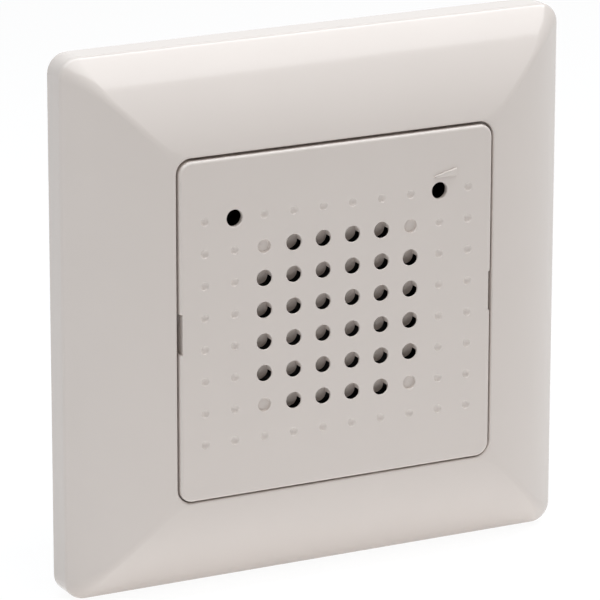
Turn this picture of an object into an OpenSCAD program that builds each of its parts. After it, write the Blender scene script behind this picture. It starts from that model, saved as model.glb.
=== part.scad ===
// Flush-mounted door chime: a cover frame, a clip-in centre plate with a sound grille,
// and an insert with speaker, board and terminals that hangs in a round wall box.
// Each piece is drawn with X to the right, Y up and Z out of the wall, in millimetres.
// on_wall() then turns it so that Z is up, the front faces -Y and the wall is Y = 0.

/* [Cover frame] */
// Outer width and height of the frame
frame_w = 80; // [78:0.5:90]
// Radius of the outer corners
frame_corner_r = 3; // [2.5:0.5:8]
// Height of the straight outer edge above the wall
frame_edge_h = 4.3; // [2:0.1:5]
// Height of the lip beside the plate
frame_lip_h = 11.3; // [10.5:0.1:13]
// Radius of the bulging slope, seen in section
frame_bulge_r = 25; // [15:0.05:60]
// Radius of the shoulder between edge and slope
frame_shoulder_r = 1; // [0.5:0.1:2.2]
// Wall thickness of the frame
frame_wall = 2.2; // [1.6:0.1:2.6]
// How far the ledge reaches in under the plate's edge
ledge_reach = 1.7; // [1.2:0.1:2.2]
// Thickness of the ledge
ledge_t = 1.6; // [1:0.1:2]
// Thickness of the ribs behind the slope
rib_t = 1; // [0.8:0.1:1.6]
// Distance of the ribs from the middle of each side
rib_offset = 14; // [8:0.5:20]

/* [Centre plate] */
// Width and height of the plate
plate_w = 50; // [49:0.1:51]
// Radius of the plate's corners
plate_corner_r = 2; // [1:0.1:4]
// Gap between plate and frame
plate_gap = 0.3; // [0.2:0.05:0.5]
// How far the plate stands proud of the frame's lip
plate_proud = 0.3; // [0:0.05:0.6]
// Rounding of the plate's front edge
plate_edge_r = 0.5; // [0.2:0.05:0.8]
// Thickness of the plate's edge on the ledge
plate_edge_t = 1.8; // [1.4:0.1:2.2]
// Thickness of the skin round the holes
skin_t = 1; // [0.8:0.05:1.3]
// Wall thickness of the skirt behind the plate
skirt_wall = 1.2; // [0.8:0.1:1.4]
// Gap between skirt and ledge
skirt_gap = 0.4; // [0.3:0.05:0.6]
// Height of the pry notches in the side edges
notch_h = 6; // [4:0.1:8]
// Depth of the pry notches
notch_d = 0.5; // [0.4:0.1:0.9]
// Width of each snap tongue of the skirt
tongue_w = 9; // [6:0.5:12]
// Width of the slits beside a tongue
slit_w = 1; // [0.6:0.1:1.5]

/* [Sound grille] */
// Pitch of the hole grid
pitch = 4.68; // [4.4:0.02:4.8]
// How far the grid's centre lies below the plate's centre
grille_drop = 0.3; // [0:0.05:1]
// Diameter of a sound hole
sound_hole_d = 2.4; // [1.8:0.1:2.6]
// Depth of the hooded pocket, face to floor
hood_depth = 1.8; // [1.5:0.1:2]
// Thickness of the pocket's floor
hood_floor_t = 0.8; // [0.5:0.1:1]
// Wall thickness of the hood
hood_wall = 0.6; // [0.4:0.1:0.8]
// How far below the hole's centre the hood's mouth starts
hood_mouth_drop = 0.55; // [0.2:0.05:0.8]
// Diameter of an access hole
access_hole_d = 2.5; // [2:0.1:3]
// Diameter of a blind recess at the block's corners
recess_d = 2.3; // [1.8:0.1:2.6]
// Depth of a blind recess
recess_depth = 0.3; // [0.15:0.05:0.5]
// Diameter of a dimple
dimple_d = 1.05; // [0.8:0.05:1.4]
// Depth of a dimple
dimple_depth = 0.2; // [0.08:0.01:0.25]

/* [Support plate] */
// Gap between the steel plate's edge and the frame's wall
support_gap = 2.3; // [1.8:0.1:2.8]
// Thickness of the steel
support_t = 1; // [0.8:0.1:1.5]
// Radius of the steel plate's corners
support_corner_r = 3; // [1:0.5:6]
// Spacing of the wall-box screws
box_screw_spacing = 60; // [60:0.5:61]
// Width of a screw slot
box_slot_w = 4; // [3.6:0.1:4.4]
// Length of a screw slot, end to end
box_slot_l = 7; // [6:0.5:7.5]
// Gap between the opening's edge and the housing
housing_gap = 0.6; // [0.3:0.1:1]

/* [Speaker carrier] */
// Width and height of the flange
flange_w = 52; // [51:0.1:52.4]
// Thickness of the flange
flange_t = 2; // [1.5:0.1:2.3]
// Radius of the flange's corners
flange_corner_r = 3; // [1:0.5:4]
// Inset of the flange screws from its edges
flange_screw_inset = 2.6; // [2.4:0.1:3]
// Gap between the carrier's wall and the skirt
carrier_gap = 0.8; // [0.7:0.05:1]
// Thickness of the carrier's wall
carrier_wall = 1.2; // [1:0.1:1.5]
// Height of the carrier's wall above the flange
carrier_wall_h = 4; // [3.8:0.1:4.4]
// Height of the guide bosses above the flange
boss_h = 3; // [2:0.1:3.6]
// Wall thickness round a guide bore
boss_wall = 1.3; // [0.9:0.1:1.4]
// Reach of a snap ridge, and of the nib that passes it
snap_reach = 0.35; // [0.2:0.05:0.5]
// Radius of the opening for the speaker's back
carrier_hole_r = 14.6; // [14:0.1:15]

/* [Speaker] */
// Diameter of the speaker's rim
speaker_d = 36; // [35:0.1:36.4]
// Thickness of the basket's sheet
basket_t = 0.6; // [0.4:0.05:0.8]
// Depth of the basket below its rim
basket_depth = 4.5; // [4.2:0.1:4.7]
// Width of the flat rim
rim_w = 2.4; // [2.2:0.1:2.6]
// Radius of the basket's flat back
basket_back_r = 12.2; // [11.5:0.1:12.6]
// Thickness of the foam ring
gasket_t = 1.7; // [1.4:0.1:1.9]
// Width of the foam ring
gasket_w = 1.5; // [1:0.1:1.5]
// Free space between the foam ring and the grille's hoods
gasket_gap = 0.8; // [0.5:0.1:1.2]
// Outer radius of the magnet
magnet_r = 9.5; // [8.5:0.1:9.7]
// Thickness of the magnet
magnet_t = 3; // [2.5:0.1:3.5]
// Thickness of the top plate
top_plate_t = 1.2; // [0.8:0.1:1.5]
// Thickness of the yoke's back plate
yoke_t = 1.2; // [0.8:0.1:1.5]
// Radius of the pole piece
pole_r = 4.2; // [4:0.05:4.5]
// Air gap on each side of the coil
coil_gap = 0.25; // [0.2:0.05:0.3]
// Wall thickness of the coil and its former
coil_wall = 0.4; // [0.3:0.05:0.5]
// Thickness of the paper cone
cone_t = 0.3; // [0.2:0.05:0.4]
// Outer radius of the paper cone
cone_r = 13; // [12.6:0.1:13.2]
// Travel of the cone each way
cone_travel = 0.4; // [0.2:0.05:0.5]

/* [Board and controls] */
// Depth of the board's front face behind the wall
board_depth = 7; // [6.5:0.1:7.5]
// Thickness of the board
board_t = 1.6; // [1:0.1:2]
// Gap between board and housing
board_gap = 0.5; // [0.3:0.1:0.8]
// Radius of the volume spindle
spindle_r = 1.5; // [1.3:0.05:1.6]
// Radius of the melody pin
pin_r = 1.2; // [1:0.05:1.3]
// Running clearance of spindle and pin, on the radius
run_gap = 0.05; // [0.03:0.01:0.08]
// Travel of the melody pin
pin_travel = 0.25; // [0.2:0.05:0.3]
// Radius of the volume trimmer
trimmer_r = 3.2; // [3:0.1:3.4]
// Height of the volume trimmer
trimmer_h = 3.2; // [2.8:0.1:3.5]
// Width of the melody switch
switch_w = 6; // [5.6:0.1:6.2]
// Height of the melody switch
switch_h = 3.4; // [3:0.1:3.6]

/* [Terminals] */
// Pitch of the terminal poles
pole_pitch = 5.08; // [5:0.02:5.1]
// Depth of the terminal block, along the wires
block_d = 8.3; // [8:0.1:8.5]
// Height of the terminal block above the board
block_h = 10; // [9.8:0.1:10.4]
// Radius of a terminal screw's shank
clamp_screw_r = 1.25; // [1.1:0.05:1.3]
// Travel of a wire clamp
clamp_travel = 1.4; // [1.2:0.05:1.45]

/* [Rear housing] */
// Width and height of the housing
housing_w = 45; // [44.6:0.1:45.2]
// Radius of the housing's corners
housing_corner_r = 8; // [7:0.1:8.5]
// Depth of the housing behind the wall
housing_depth = 22; // [21.5:0.1:25]
// Wall thickness of the housing
housing_wall = 1.5; // [1.2:0.1:1.7]
// Inset of the housing screws from the housing's sides
housing_screw_inset = 6; // [5.7:0.1:6.3]
// Radius of a housing screw's shank
housing_screw_r = 1.2; // [1:0.05:1.3]
// Height of the wire slot in the lower wall
wire_slot_h = 6; // [5:0.1:6.5]

/* [Hidden] */
$fn = 64;

// How far a cutting shape runs past the face that it cuts
cut = 1;
// Overlap of two shapes that are fused into one piece
fuse = 0.2;
// Clearance of a screw in the hole that holds it
thread_gap = 0.02;

// Finishes
off_white = [0.83, 0.80, 0.77];
zinc = [0.72, 0.73, 0.75];
dark_plastic = [0.22, 0.22, 0.23];
pale_plastic = [0.75, 0.75, 0.72];
brass = [0.80, 0.66, 0.36];

// Frame section: the slope's arc runs from the outer edge to the lip
half_frame = frame_w / 2;
opening_w = plate_w + 2 * plate_gap;
half_opening = opening_w / 2;
slope_run = half_frame - half_opening;
slope_rise = frame_lip_h - frame_edge_h;
slope_chord = norm([slope_run, slope_rise]);
slope_height = sqrt(frame_bulge_r ^ 2 - (slope_chord / 2) ^ 2);
arc_x = (half_frame + half_opening) / 2 - slope_height * slope_rise / slope_chord;
arc_z = (frame_edge_h + frame_lip_h) / 2 - slope_height * slope_run / slope_chord;
// The shoulder's small arc touches the edge and the slope from inside
shoulder_x = half_frame - frame_shoulder_r;
shoulder_z = arc_z + sqrt((frame_bulge_r - frame_shoulder_r) ^ 2 - (shoulder_x - arc_x) ^ 2);
shoulder_touch = [shoulder_x - arc_x, shoulder_z - arc_z] * frame_bulge_r
    / (frame_bulge_r - frame_shoulder_r);

// Heights above the wall, from the face inwards
face_z = frame_lip_h + plate_proud;
ledge_z = face_z - plate_edge_t;
hood_back_z = face_z - hood_depth - hood_floor_t;
rim_top_z = hood_back_z - gasket_gap - gasket_t;
rim_under_z = rim_top_z - basket_t;
basket_under_z = rim_under_z - basket_depth;
top_plate_under_z = basket_under_z - top_plate_t;
magnet_under_z = top_plate_under_z - magnet_t;
flange_z = support_t + flange_t;
board_front_z = -board_depth;
board_rear_z = -board_depth - board_t;

// Steel plate behind the frame
support_w = frame_w - 2 * (frame_wall + support_gap);

// Screws that hold the carrier on the steel plate
flange_screw = flange_w / 2 - flange_screw_inset;
flange_screw_r = 1.25;
flange_screw_head_r = 2;
flange_screw_head_h = 1.5;
flange_screw_head_gap = 0.3;

// Frame ledge and plate skirt
ledge_open_w = opening_w - 2 * ledge_reach;
ledge_collar = 1.4;
ledge_block_w = opening_w + 2 * ledge_collar;
skirt_w = ledge_open_w - 2 * skirt_gap;
skirt_inner_w = skirt_w - 2 * skirt_wall;
skirt_foot_gap = 0.3;
skirt_under_z = flange_z + flange_screw_head_h + skirt_foot_gap;
nib_h = 0.8;
snap_clear = 0.05;
slit_top_gap = 1.4;

// Carrier
carrier_w = skirt_inner_w - 2 * carrier_gap;
carrier_top_z = flange_z + carrier_wall_h;
ridge_h = 1;
ridge_z = carrier_top_z - ridge_h;
boss_top_z = flange_z + boss_h;
seat_w = 1.5;
seat_gap = 0.1;
seat_wall = 1.4;
seat_r = speaker_d / 2 + seat_gap;
post_r = 2.2;
post_reach = 3.4;
housing_screw_x = housing_w / 2 - housing_screw_inset;
housing_screw_y = -3;
board_screw_at = [6.5, 17];
board_screw_r = 1;
board_post_r = 1.9;
board_screw_grip = 5;
board_head_h = 1.2;
screw_tip_gap = 0.5;

// Grid of the grille, counted from the top left
columns = 10;
rows = 8;
side_columns = 2;
edge_rows = 1;
access_row = 0;
access_column = 1;
function grid_x(i) = (i - (columns - 1) / 2) * pitch;
function grid_y(j) = ((rows - 1) / 2 - j) * pitch - grille_drop;
function in_block(i, j) = i >= side_columns && i < columns - side_columns
    && j >= edge_rows && j < rows - edge_rows;
function at_corner(i, j) = (i == side_columns || i == columns - 1 - side_columns)
    && (j == edge_rows || j == rows - 1 - edge_rows);
function at_access(i, j) = j == access_row
    && (i == access_column || i == columns - 1 - access_column);
grid_points = [for (i = [0 : columns - 1], j = [0 : rows - 1]) [i, j]];
sound_points = [for (p = grid_points) if (in_block(p[0], p[1]) && !at_corner(p[0], p[1])) p];
recess_points = [for (p = grid_points) if (in_block(p[0], p[1]) && at_corner(p[0], p[1])) p];
dimple_points = [for (p = grid_points) if (!in_block(p[0], p[1]) && !at_access(p[0], p[1])) p];
hood_r = sound_hole_d / 2 + hood_wall;
control_x = grid_x(columns - 1 - access_column);
control_y = grid_y(access_row);

// Speaker
rim_inner_r = speaker_d / 2 - rim_w;
coil_inner_r = pole_r + coil_gap;
coil_outer_r = coil_inner_r + coil_wall;
gap_outer_r = coil_outer_r + coil_gap;
coil_tail = 2.4;
cone_neck_z = basket_under_z + basket_t + cone_travel + 0.3;
cone_bond = 0.02;
cone_lip = 0.8;
surround_t = 0.3;
surround_lip = 0.7;
cap_r = 5.5;
cap_h = 1.7;
cap_ball_r = (cap_r ^ 2 + cap_h ^ 2) / (2 * cap_h);
tag_w = 8;
tag_t = 0.8;
tag_inner_gap = 0.3;
tag_outer_r = 13.6;
lead_r = 0.5;
lead_x = 2.2;
lead_y = -12.6;
lead_bow = 0.5;
lead_rings = 9;
lead_sides = 8;

// Board, controls and rear housing
housing_inner_w = housing_w - 2 * housing_wall;
housing_inner_r = housing_corner_r - housing_wall;
board_w = housing_inner_w - 2 * board_gap;
board_corner_r = housing_inner_r - board_gap;
housing_rear_z = -housing_depth;
rear_wall_z = housing_rear_z + housing_wall;
trimmer_top_z = board_front_z + trimmer_h;
trimmer_socket = 2.4;
spindle_top_z = boss_top_z + 0.3;
spindle_collar_r = 2.2;
spindle_collar_h = 0.6;
spindle_play = 0.05;
driver_slot_w = 0.7;
driver_slot_d = 0.9;
switch_top_z = board_front_z + switch_h;
plunger_r = 1.7;
plunger_seat = 0.4;
plunger_h = 1.4;
plunger_spare = 0.3;
pin_foot_z = switch_top_z - plunger_seat + plunger_h;
pin_collar_r = 1.9;
pin_collar_h = 0.6;
pin_collar_play = 0.2;
web_t = 2;
web_rear_z = board_rear_z - post_reach - web_t;
housing_boss_r = 3.6;
housing_head_r = 2.3;
housing_head_h = 1.7;
housing_head_gap = 0.3;
housing_grip = 5;

// Parts on the rear of the board: places, and the pitches of their legs
chip_at = [4, 4];
chip_leg_step = 2.54;
chip_leg_span = 7.62;
bridge_at = [14, 8];
bridge_leg_step = 5.1;
bridge_leg_span = 7.6;
capacitor_at = [-13, 9];
resistor_at = [-6, -2];
resistor_step = 3;

// Terminal block: rising cages on captive screws, wires from below
poles = 3;
block_w = poles * pole_pitch;
block_front_y = -board_w / 2 + 0.4;
block_rear_z = board_rear_z - block_h;
clamp_y = block_front_y + 3.2;
clamp_w = 3.6;
clamp_d = 3.2;
clamp_wall = 0.5;
clamp_nut_t = 1;
clamp_gap = 0.15;
clamp_open = 1.9;
contact_t = 0.8;
contact_w = 2.3;
contact_pin_w = 1;
cavity_floor_t = 0.6;
cage_front_z = board_rear_z - cavity_floor_t - clamp_gap;
contact_front_z = cage_front_z - clamp_wall - clamp_open;
contact_rear_z = contact_front_z - contact_t;
screw_tip_z = contact_rear_z - clamp_gap;
nut_front_z = screw_tip_z - clamp_gap;
cage_rear_z = nut_front_z - clamp_nut_t;
cavity_rear_z = cage_rear_z - clamp_travel - clamp_gap;
screw_seat_z = cavity_rear_z - 0.6;
screw_head_r = 1.75;
screw_head_h = 1.2;
cavity_d = block_d - 1.3;
wire_window_w = 3.2;
driver_hole_r = 2.3;
function pole_x(n) = (n - (poles + 1) / 2) * pole_pitch;

// Turns a piece from wall coordinates to the part's frame
module on_wall() {
    rotate([90, 0, 0]) children();
}

// Square with round corners, centred
module rounded_square(w, r) {
    square([w, w - 2 * r], center = true);
    square([w - 2 * r, w], center = true);
    for (x = [-1, 1], y = [-1, 1])
        translate([x, y] * (w / 2 - r)) circle(r);
}

// Square prism with round corners between two heights
module prism(w, r, z0, z1) {
    translate([0, 0, z0]) linear_extrude(z1 - z0) rounded_square(w, r);
}

// Cylinder between two heights
module rod(r, z0, z1) {
    translate([0, 0, z0]) cylinder(r = r, h = z1 - z0);
}

// Ring between two heights
module ring(r_in, r_out, z0, z1) {
    difference() {
        rod(r_out, z0, z1);
        rod(r_in, z0 - cut, z1 + cut);
    }
}

// Box centred in X and Y between two heights
module block(w, d, z0, z1) {
    translate([-w / 2, -d / 2, z0]) cube([w, d, z1 - z0]);
}

// Copies to the left and the right
module both_sides() {
    for (side = [0, 1])
        mirror([side, 0, 0]) children();
}

// Copies to all four sides of the square
module four_sides() {
    for (turn = [0 : 3])
        rotate(90 * turn) children();
}

// Screw along Z: shank up from the seat at z, head below it, cross recess in the head
module screw_from_rear(shank_r, head_r, head_h, z, grip) {
    recess_w = head_r * 0.3;
    recess_l = head_r * 1.3;
    recess_d = head_h * 0.6;
    rod(shank_r, z - fuse, z + grip);
    difference() {
        rod(head_r, z - head_h, z);
        for (turn = [0, 90])
            rotate(turn) block(recess_l, recess_w, z - head_h - cut, z - head_h + recess_d);
    }
}

// Section of the frame's roof in X and height, drawn in by a wall and cut off at half a width
module roof_section(inset, half, base) {
    arc_r = frame_bulge_r - inset;
    intersection() {
        translate([-half, base]) square([2 * half, arc_z + arc_r + cut - base]);
        union() {
            translate([-arc_x, base]) square([2 * arc_x, arc_z + arc_r - base]);
            for (side = [-1, 1])
                translate([side * arc_x, arc_z]) circle(arc_r, $fn = 128);
        }
    }
}

// What the round shoulder takes off one side of the roof's section
module shoulder_cut() {
    touch = [arc_x, arc_z] + shoulder_touch;
    out = [shoulder_touch[0], shoulder_touch[1]] * cut / frame_bulge_r;
    difference() {
        polygon([
            [shoulder_x, shoulder_z],
            [half_frame, shoulder_z],
            [half_frame + cut, shoulder_z],
            [half_frame + cut, touch[1] + cut],
            touch + out,
            touch
        ]);
        translate([shoulder_x, shoulder_z]) circle(frame_shoulder_r);
    }
}

module outer_section() {
    difference() {
        roof_section(0, half_frame, 0);
        shoulder_cut();
        mirror([1, 0]) shoulder_cut();
    }
}

// Two crossed runs of a section, so that the slopes meet in mitres at the corners
module crossed_runs() {
    intersection() {
        rotate([90, 0, 0]) linear_extrude(2 * frame_w, center = true) children();
        rotate([90, 0, 90]) linear_extrude(2 * frame_w, center = true) children();
    }
}

module cover_frame() {
    color(off_white) on_wall() difference() {
        union() {
            difference() {
                intersection() {
                    crossed_runs() outer_section();
                    prism(frame_w, frame_corner_r, 0, face_z + cut);
                }
                intersection() {
                    crossed_runs() roof_section(frame_wall, half_frame, -cut);
                    prism(frame_w - 2 * frame_wall, frame_corner_r - frame_wall / 2, -cut, face_z);
                }
            }
            prism(ledge_block_w, plate_corner_r + plate_gap + ledge_collar, ledge_z - ledge_t, ledge_z);
            frame_ribs();
        }
        prism(ledge_open_w, plate_corner_r, -cut, face_z + cut);
        prism(opening_w, plate_corner_r + plate_gap, ledge_z, face_z + cut);
        both_sides() pry_slot();
    }
}

// Stiffening ribs behind the slope, two on each side
module frame_ribs() {
    start_x = ledge_block_w / 2 - fuse;
    end_x = half_frame - frame_wall + fuse;
    four_sides()
        for (y = [-rib_offset, rib_offset])
            intersection() {
                translate([start_x, y - rib_t / 2, flange_z + cut / 2])
                    cube([end_x - start_x, rib_t, face_z]);
                crossed_runs() roof_section(frame_wall - fuse, half_frame, 0);
            }
}

// Slot through the ledge below a pry notch
module pry_slot() {
    slot_x = plate_w / 2 - notch_d;
    translate([slot_x, -notch_h / 2, ledge_z - ledge_t - cut])
        cube([half_opening - slot_x, notch_h, ledge_t + 2 * cut]);
}

// Section across the plate's edge slab, with round front corners
module slab_section(w) {
    low = plate_edge_t - plate_edge_r;
    translate([-w / 2, 0]) square([w, low]);
    translate([-w / 2 + plate_edge_r, 0]) square([w - 2 * plate_edge_r, plate_edge_t]);
    for (side = [-1, 1])
        translate([side * (w / 2 - plate_edge_r), low]) circle(plate_edge_r);
}

// Edge slab of the plate: two crossed runs and four turned corners
module edge_slab() {
    run = plate_w - 2 * plate_corner_r;
    rotate([90, 0, 0]) linear_extrude(run, center = true) slab_section(plate_w);
    rotate([90, 0, 90]) linear_extrude(run, center = true) slab_section(plate_w);
    for (x = [-1, 1], y = [-1, 1])
        translate([x * run / 2, y * run / 2, 0]) rotate_extrude() intersection() {
            slab_section(2 * plate_corner_r);
            square(2 * plate_corner_r + plate_edge_t);
        }
}

// Skirt behind the plate, with a slit tongue and a snap nib in the middle of each side
module plate_skirt() {
    nib_x = skirt_inner_w / 2 - carrier_gap + snap_reach + snap_clear;
    slit_x = skirt_inner_w / 2 - cut;
    top_z = ledge_z + fuse;
    difference() {
        prism(skirt_w, plate_corner_r, skirt_under_z, top_z);
        prism(skirt_inner_w, plate_corner_r - skirt_wall / 2, skirt_under_z - cut, top_z + cut);
        four_sides()
            for (side = [-1, 1])
                translate([slit_x, (side * (tongue_w + slit_w) - slit_w) / 2, skirt_under_z - cut])
                    cube([skirt_wall + 2 * cut, slit_w, ledge_z - slit_top_gap - skirt_under_z + cut]);
    }
    four_sides()
        translate([nib_x, -tongue_w / 2, skirt_under_z])
            cube([skirt_w / 2 - fuse - nib_x, tongue_w, nib_h]);
}

module center_plate() {
    color(off_white) on_wall() difference() {
        union() {
            difference() {
                translate([0, 0, ledge_z]) edge_slab();
                prism(skirt_inner_w, plate_corner_r - skirt_wall / 2, ledge_z - cut, face_z - skin_t);
            }
            plate_skirt();
            for (p = sound_points)
                translate([grid_x(p[0]), grid_y(p[1]), 0]) rod(hood_r, hood_back_z, face_z - skin_t + fuse);
        }
        for (p = sound_points)
            translate([grid_x(p[0]), grid_y(p[1]), face_z]) pocket();
        for (p = recess_points)
            translate([grid_x(p[0]), grid_y(p[1]), face_z]) rod(recess_d / 2, -recess_depth, cut);
        for (p = dimple_points)
            translate([grid_x(p[0]), grid_y(p[1]), face_z]) dimple();
        both_sides() translate([control_x, control_y, face_z]) rod(access_hole_d / 2, -skin_t - cut, cut);
        both_sides() translate([plate_w / 2 - notch_d, -notch_h / 2, ledge_z - cut])
            cube([notch_d + cut, notch_h, plate_edge_t + 2 * cut]);
    }
}

// Sound hole with its pocket, open at the lower side behind the skin
module pocket() {
    rod(sound_hole_d / 2, -hood_depth, cut);
    translate([-hood_r - fuse, -hood_r - fuse, -hood_depth])
        cube([2 * (hood_r + fuse), hood_r + fuse - hood_mouth_drop, hood_depth - skin_t]);
}

// Shallow hollow of a ball, sized by its diameter and depth at the face
module dimple() {
    ball_r = ((dimple_d / 2) ^ 2 + dimple_depth ^ 2) / (2 * dimple_depth);
    translate([0, 0, ball_r - dimple_depth]) sphere(ball_r);
}

module support_plate() {
    opening = housing_w + 2 * housing_gap;
    color(zinc) on_wall() difference() {
        prism(support_w, support_corner_r, 0, support_t);
        prism(opening, housing_corner_r + housing_gap, -cut, support_t + cut);
        four_sides() translate([box_screw_spacing / 2, 0, 0]) box_slot();
        four_sides() translate([flange_screw, flange_screw, 0])
            rod(flange_screw_r + thread_gap, -cut, support_t + cut);
    }
}

// Slot for a wall-box screw, long towards the centre
module box_slot() {
    reach = (box_slot_l - box_slot_w) / 2;
    for (end = [-1, 1])
        translate([end * reach, 0, 0]) rod(box_slot_w / 2, -cut, support_t + cut);
    block(2 * reach, box_slot_w, -cut, support_t + cut);
}

module carrier_screws() {
    color(zinc) on_wall() four_sides()
        translate([flange_screw, flange_screw, flange_z]) mirror([0, 0, 1])
            screw_from_rear(flange_screw_r, flange_screw_head_r, flange_screw_head_h, 0, flange_z);
}

module speaker_carrier() {
    pilot_r = housing_screw_r + thread_gap;
    board_pilot_r = board_screw_r + thread_gap;
    color(dark_plastic) on_wall() difference() {
        union() {
            prism(flange_w, flange_corner_r, support_t, flange_z);
            difference() {
                prism(carrier_w, plate_corner_r, flange_z - fuse, carrier_top_z);
                prism(carrier_w - 2 * carrier_wall, plate_corner_r, flange_z - cut, carrier_top_z + cut);
                // Room for the screw heads, which a wider wall's corners would run into
                four_sides() translate([flange_screw, flange_screw, flange_z])
                    rod(flange_screw_head_r + flange_screw_head_gap, -cut,
                        flange_screw_head_h + flange_screw_head_gap);
            }
            rod(seat_r + seat_wall, flange_z - fuse, rim_top_z);
            four_sides() translate([carrier_w / 2 - fuse, -tongue_w / 2, ridge_z])
                cube([snap_reach + fuse, tongue_w, ridge_h]);
            translate([control_x, control_y, 0])
                rod(spindle_r + run_gap + boss_wall, flange_z - fuse, boss_top_z);
            translate([-control_x, control_y, 0])
                rod(pin_r + run_gap + boss_wall, flange_z - fuse, boss_top_z);
            both_sides() translate([housing_screw_x, housing_screw_y, 0])
                rod(post_r, board_rear_z - post_reach, support_t + fuse);
            both_sides() translate(board_screw_at) rod(board_post_r, board_front_z, support_t + fuse);
        }
        rod(seat_r, rim_under_z, rim_top_z + cut);
        rod(seat_r - seat_w, flange_z, rim_under_z + cut);
        rod(carrier_hole_r, support_t - cut, flange_z + cut);
        translate([control_x, control_y, 0]) rod(spindle_r + run_gap, support_t - cut, boss_top_z + cut);
        translate([-control_x, control_y, 0]) rod(pin_r + run_gap, support_t - cut, boss_top_z + cut);
        four_sides() translate([flange_screw, flange_screw, 0])
            rod(flange_screw_r + thread_gap, support_t - cut, flange_z + cut);
        both_sides() translate([housing_screw_x, housing_screw_y, 0])
            rod(pilot_r, board_rear_z - post_reach - cut, board_rear_z - post_reach + housing_grip);
        both_sides() translate(board_screw_at)
            rod(board_pilot_r, board_front_z - cut, board_front_z + board_screw_grip);
    }
}

module speaker_gasket() {
    color([0.12, 0.12, 0.12]) on_wall()
        ring(speaker_d / 2 - gasket_w, speaker_d / 2, rim_top_z, rim_top_z + gasket_t);
}

// Stamped basket: rim, sloping wall with four windows, flat back
module speaker_basket() {
    windows = 4;
    window_w = 7;
    window_under_z = basket_under_z + basket_t + 0.6;
    window_top_z = rim_under_z - 0.8;
    color(zinc) on_wall() difference() {
        rotate_extrude() polygon([
            [gap_outer_r, basket_under_z],
            [basket_back_r, basket_under_z],
            [rim_inner_r, rim_under_z],
            [speaker_d / 2, rim_under_z],
            [speaker_d / 2, rim_top_z],
            [rim_inner_r - basket_t, rim_top_z],
            [basket_back_r - basket_t, basket_under_z + basket_t],
            [gap_outer_r, basket_under_z + basket_t]
        ]);
        for (n = [0 : windows - 1])
            rotate(45 + n * 360 / windows) translate([basket_back_r - 2, -window_w / 2, window_under_z])
                cube([rim_inner_r, window_w, window_top_z - window_under_z]);
    }
}

module speaker_top_plate() {
    color(zinc) on_wall() ring(gap_outer_r, magnet_r, top_plate_under_z, basket_under_z);
}

module speaker_magnet() {
    color([0.16, 0.15, 0.15]) on_wall()
        ring(gap_outer_r + 1, magnet_r, magnet_under_z, top_plate_under_z);
}

// Back plate with the pole piece and its vent
module speaker_yoke() {
    vent_r = 0.8;
    color(zinc) on_wall() difference() {
        union() {
            rod(magnet_r - 0.5, magnet_under_z - yoke_t, magnet_under_z);
            rod(pole_r, magnet_under_z - fuse, basket_under_z);
        }
        rod(vent_r, magnet_under_z - yoke_t - cut, basket_under_z + cut);
    }
}

module voice_coil() {
    color(brass) on_wall()
        ring(coil_inner_r, coil_outer_r, basket_under_z - coil_tail, cone_neck_z + cone_t);
}

module speaker_cone() {
    neck_r = coil_outer_r + cone_bond;
    color([0.13, 0.12, 0.12]) on_wall() rotate_extrude() polygon([
        [neck_r, cone_neck_z],
        [cone_r - cone_lip, rim_top_z - cone_t],
        [cone_r, rim_top_z - cone_t],
        [cone_r, rim_top_z],
        [cone_r - cone_lip - cone_t / 2, rim_top_z],
        [neck_r, cone_neck_z + cone_t]
    ]);
}

// Thin dome over the coil, its foot on the cone
module dust_cap() {
    slope = (rim_top_z - cone_neck_z) / (cone_r - cone_lip - coil_outer_r);
    foot_z = cone_neck_z + cone_t + (cap_r - coil_outer_r) * slope + cone_bond;
    color([0.2, 0.19, 0.18]) on_wall() translate([0, 0, foot_z + cap_h - cap_ball_r]) rotate_extrude()
        intersection() {
            difference() {
                circle(cap_ball_r, $fn = 128);
                circle(cap_ball_r - cone_t, $fn = 128);
            }
            translate([0, cap_ball_r - cap_h]) square([cap_r, cap_h + cut]);
        }
}

// Half-roll between the cone's lip and the basket's rim
module cone_surround() {
    inner_r = cone_r - surround_lip;
    outer_r = speaker_d / 2 - gasket_w - 0.1;
    roll_in = cone_r - 0.1;
    roll_out = rim_inner_r - basket_t + 0.1;
    roll_r = (roll_out - roll_in) / 2;
    color([0.1, 0.1, 0.1]) on_wall() translate([0, 0, rim_top_z]) rotate_extrude() difference() {
        union() {
            translate([inner_r, 0]) square([outer_r - inner_r, surround_t]);
            intersection() {
                translate([(roll_in + roll_out) / 2, 0]) circle(roll_r + surround_t);
                translate([inner_r, 0]) square([outer_r - inner_r, roll_r + 2 * surround_t]);
            }
        }
        translate([(roll_in + roll_out) / 2, 0]) circle(roll_r);
    }
}

// Tag strip under the basket's back, with its two tags
module speaker_tags() {
    inner_r = magnet_r + tag_inner_gap;
    tag_l = tag_outer_r - inner_r;
    color(brass) on_wall() translate([0, -(inner_r + tag_outer_r) / 2, 0])
        block(tag_w, tag_l, basket_under_z - tag_t, basket_under_z);
}

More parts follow.
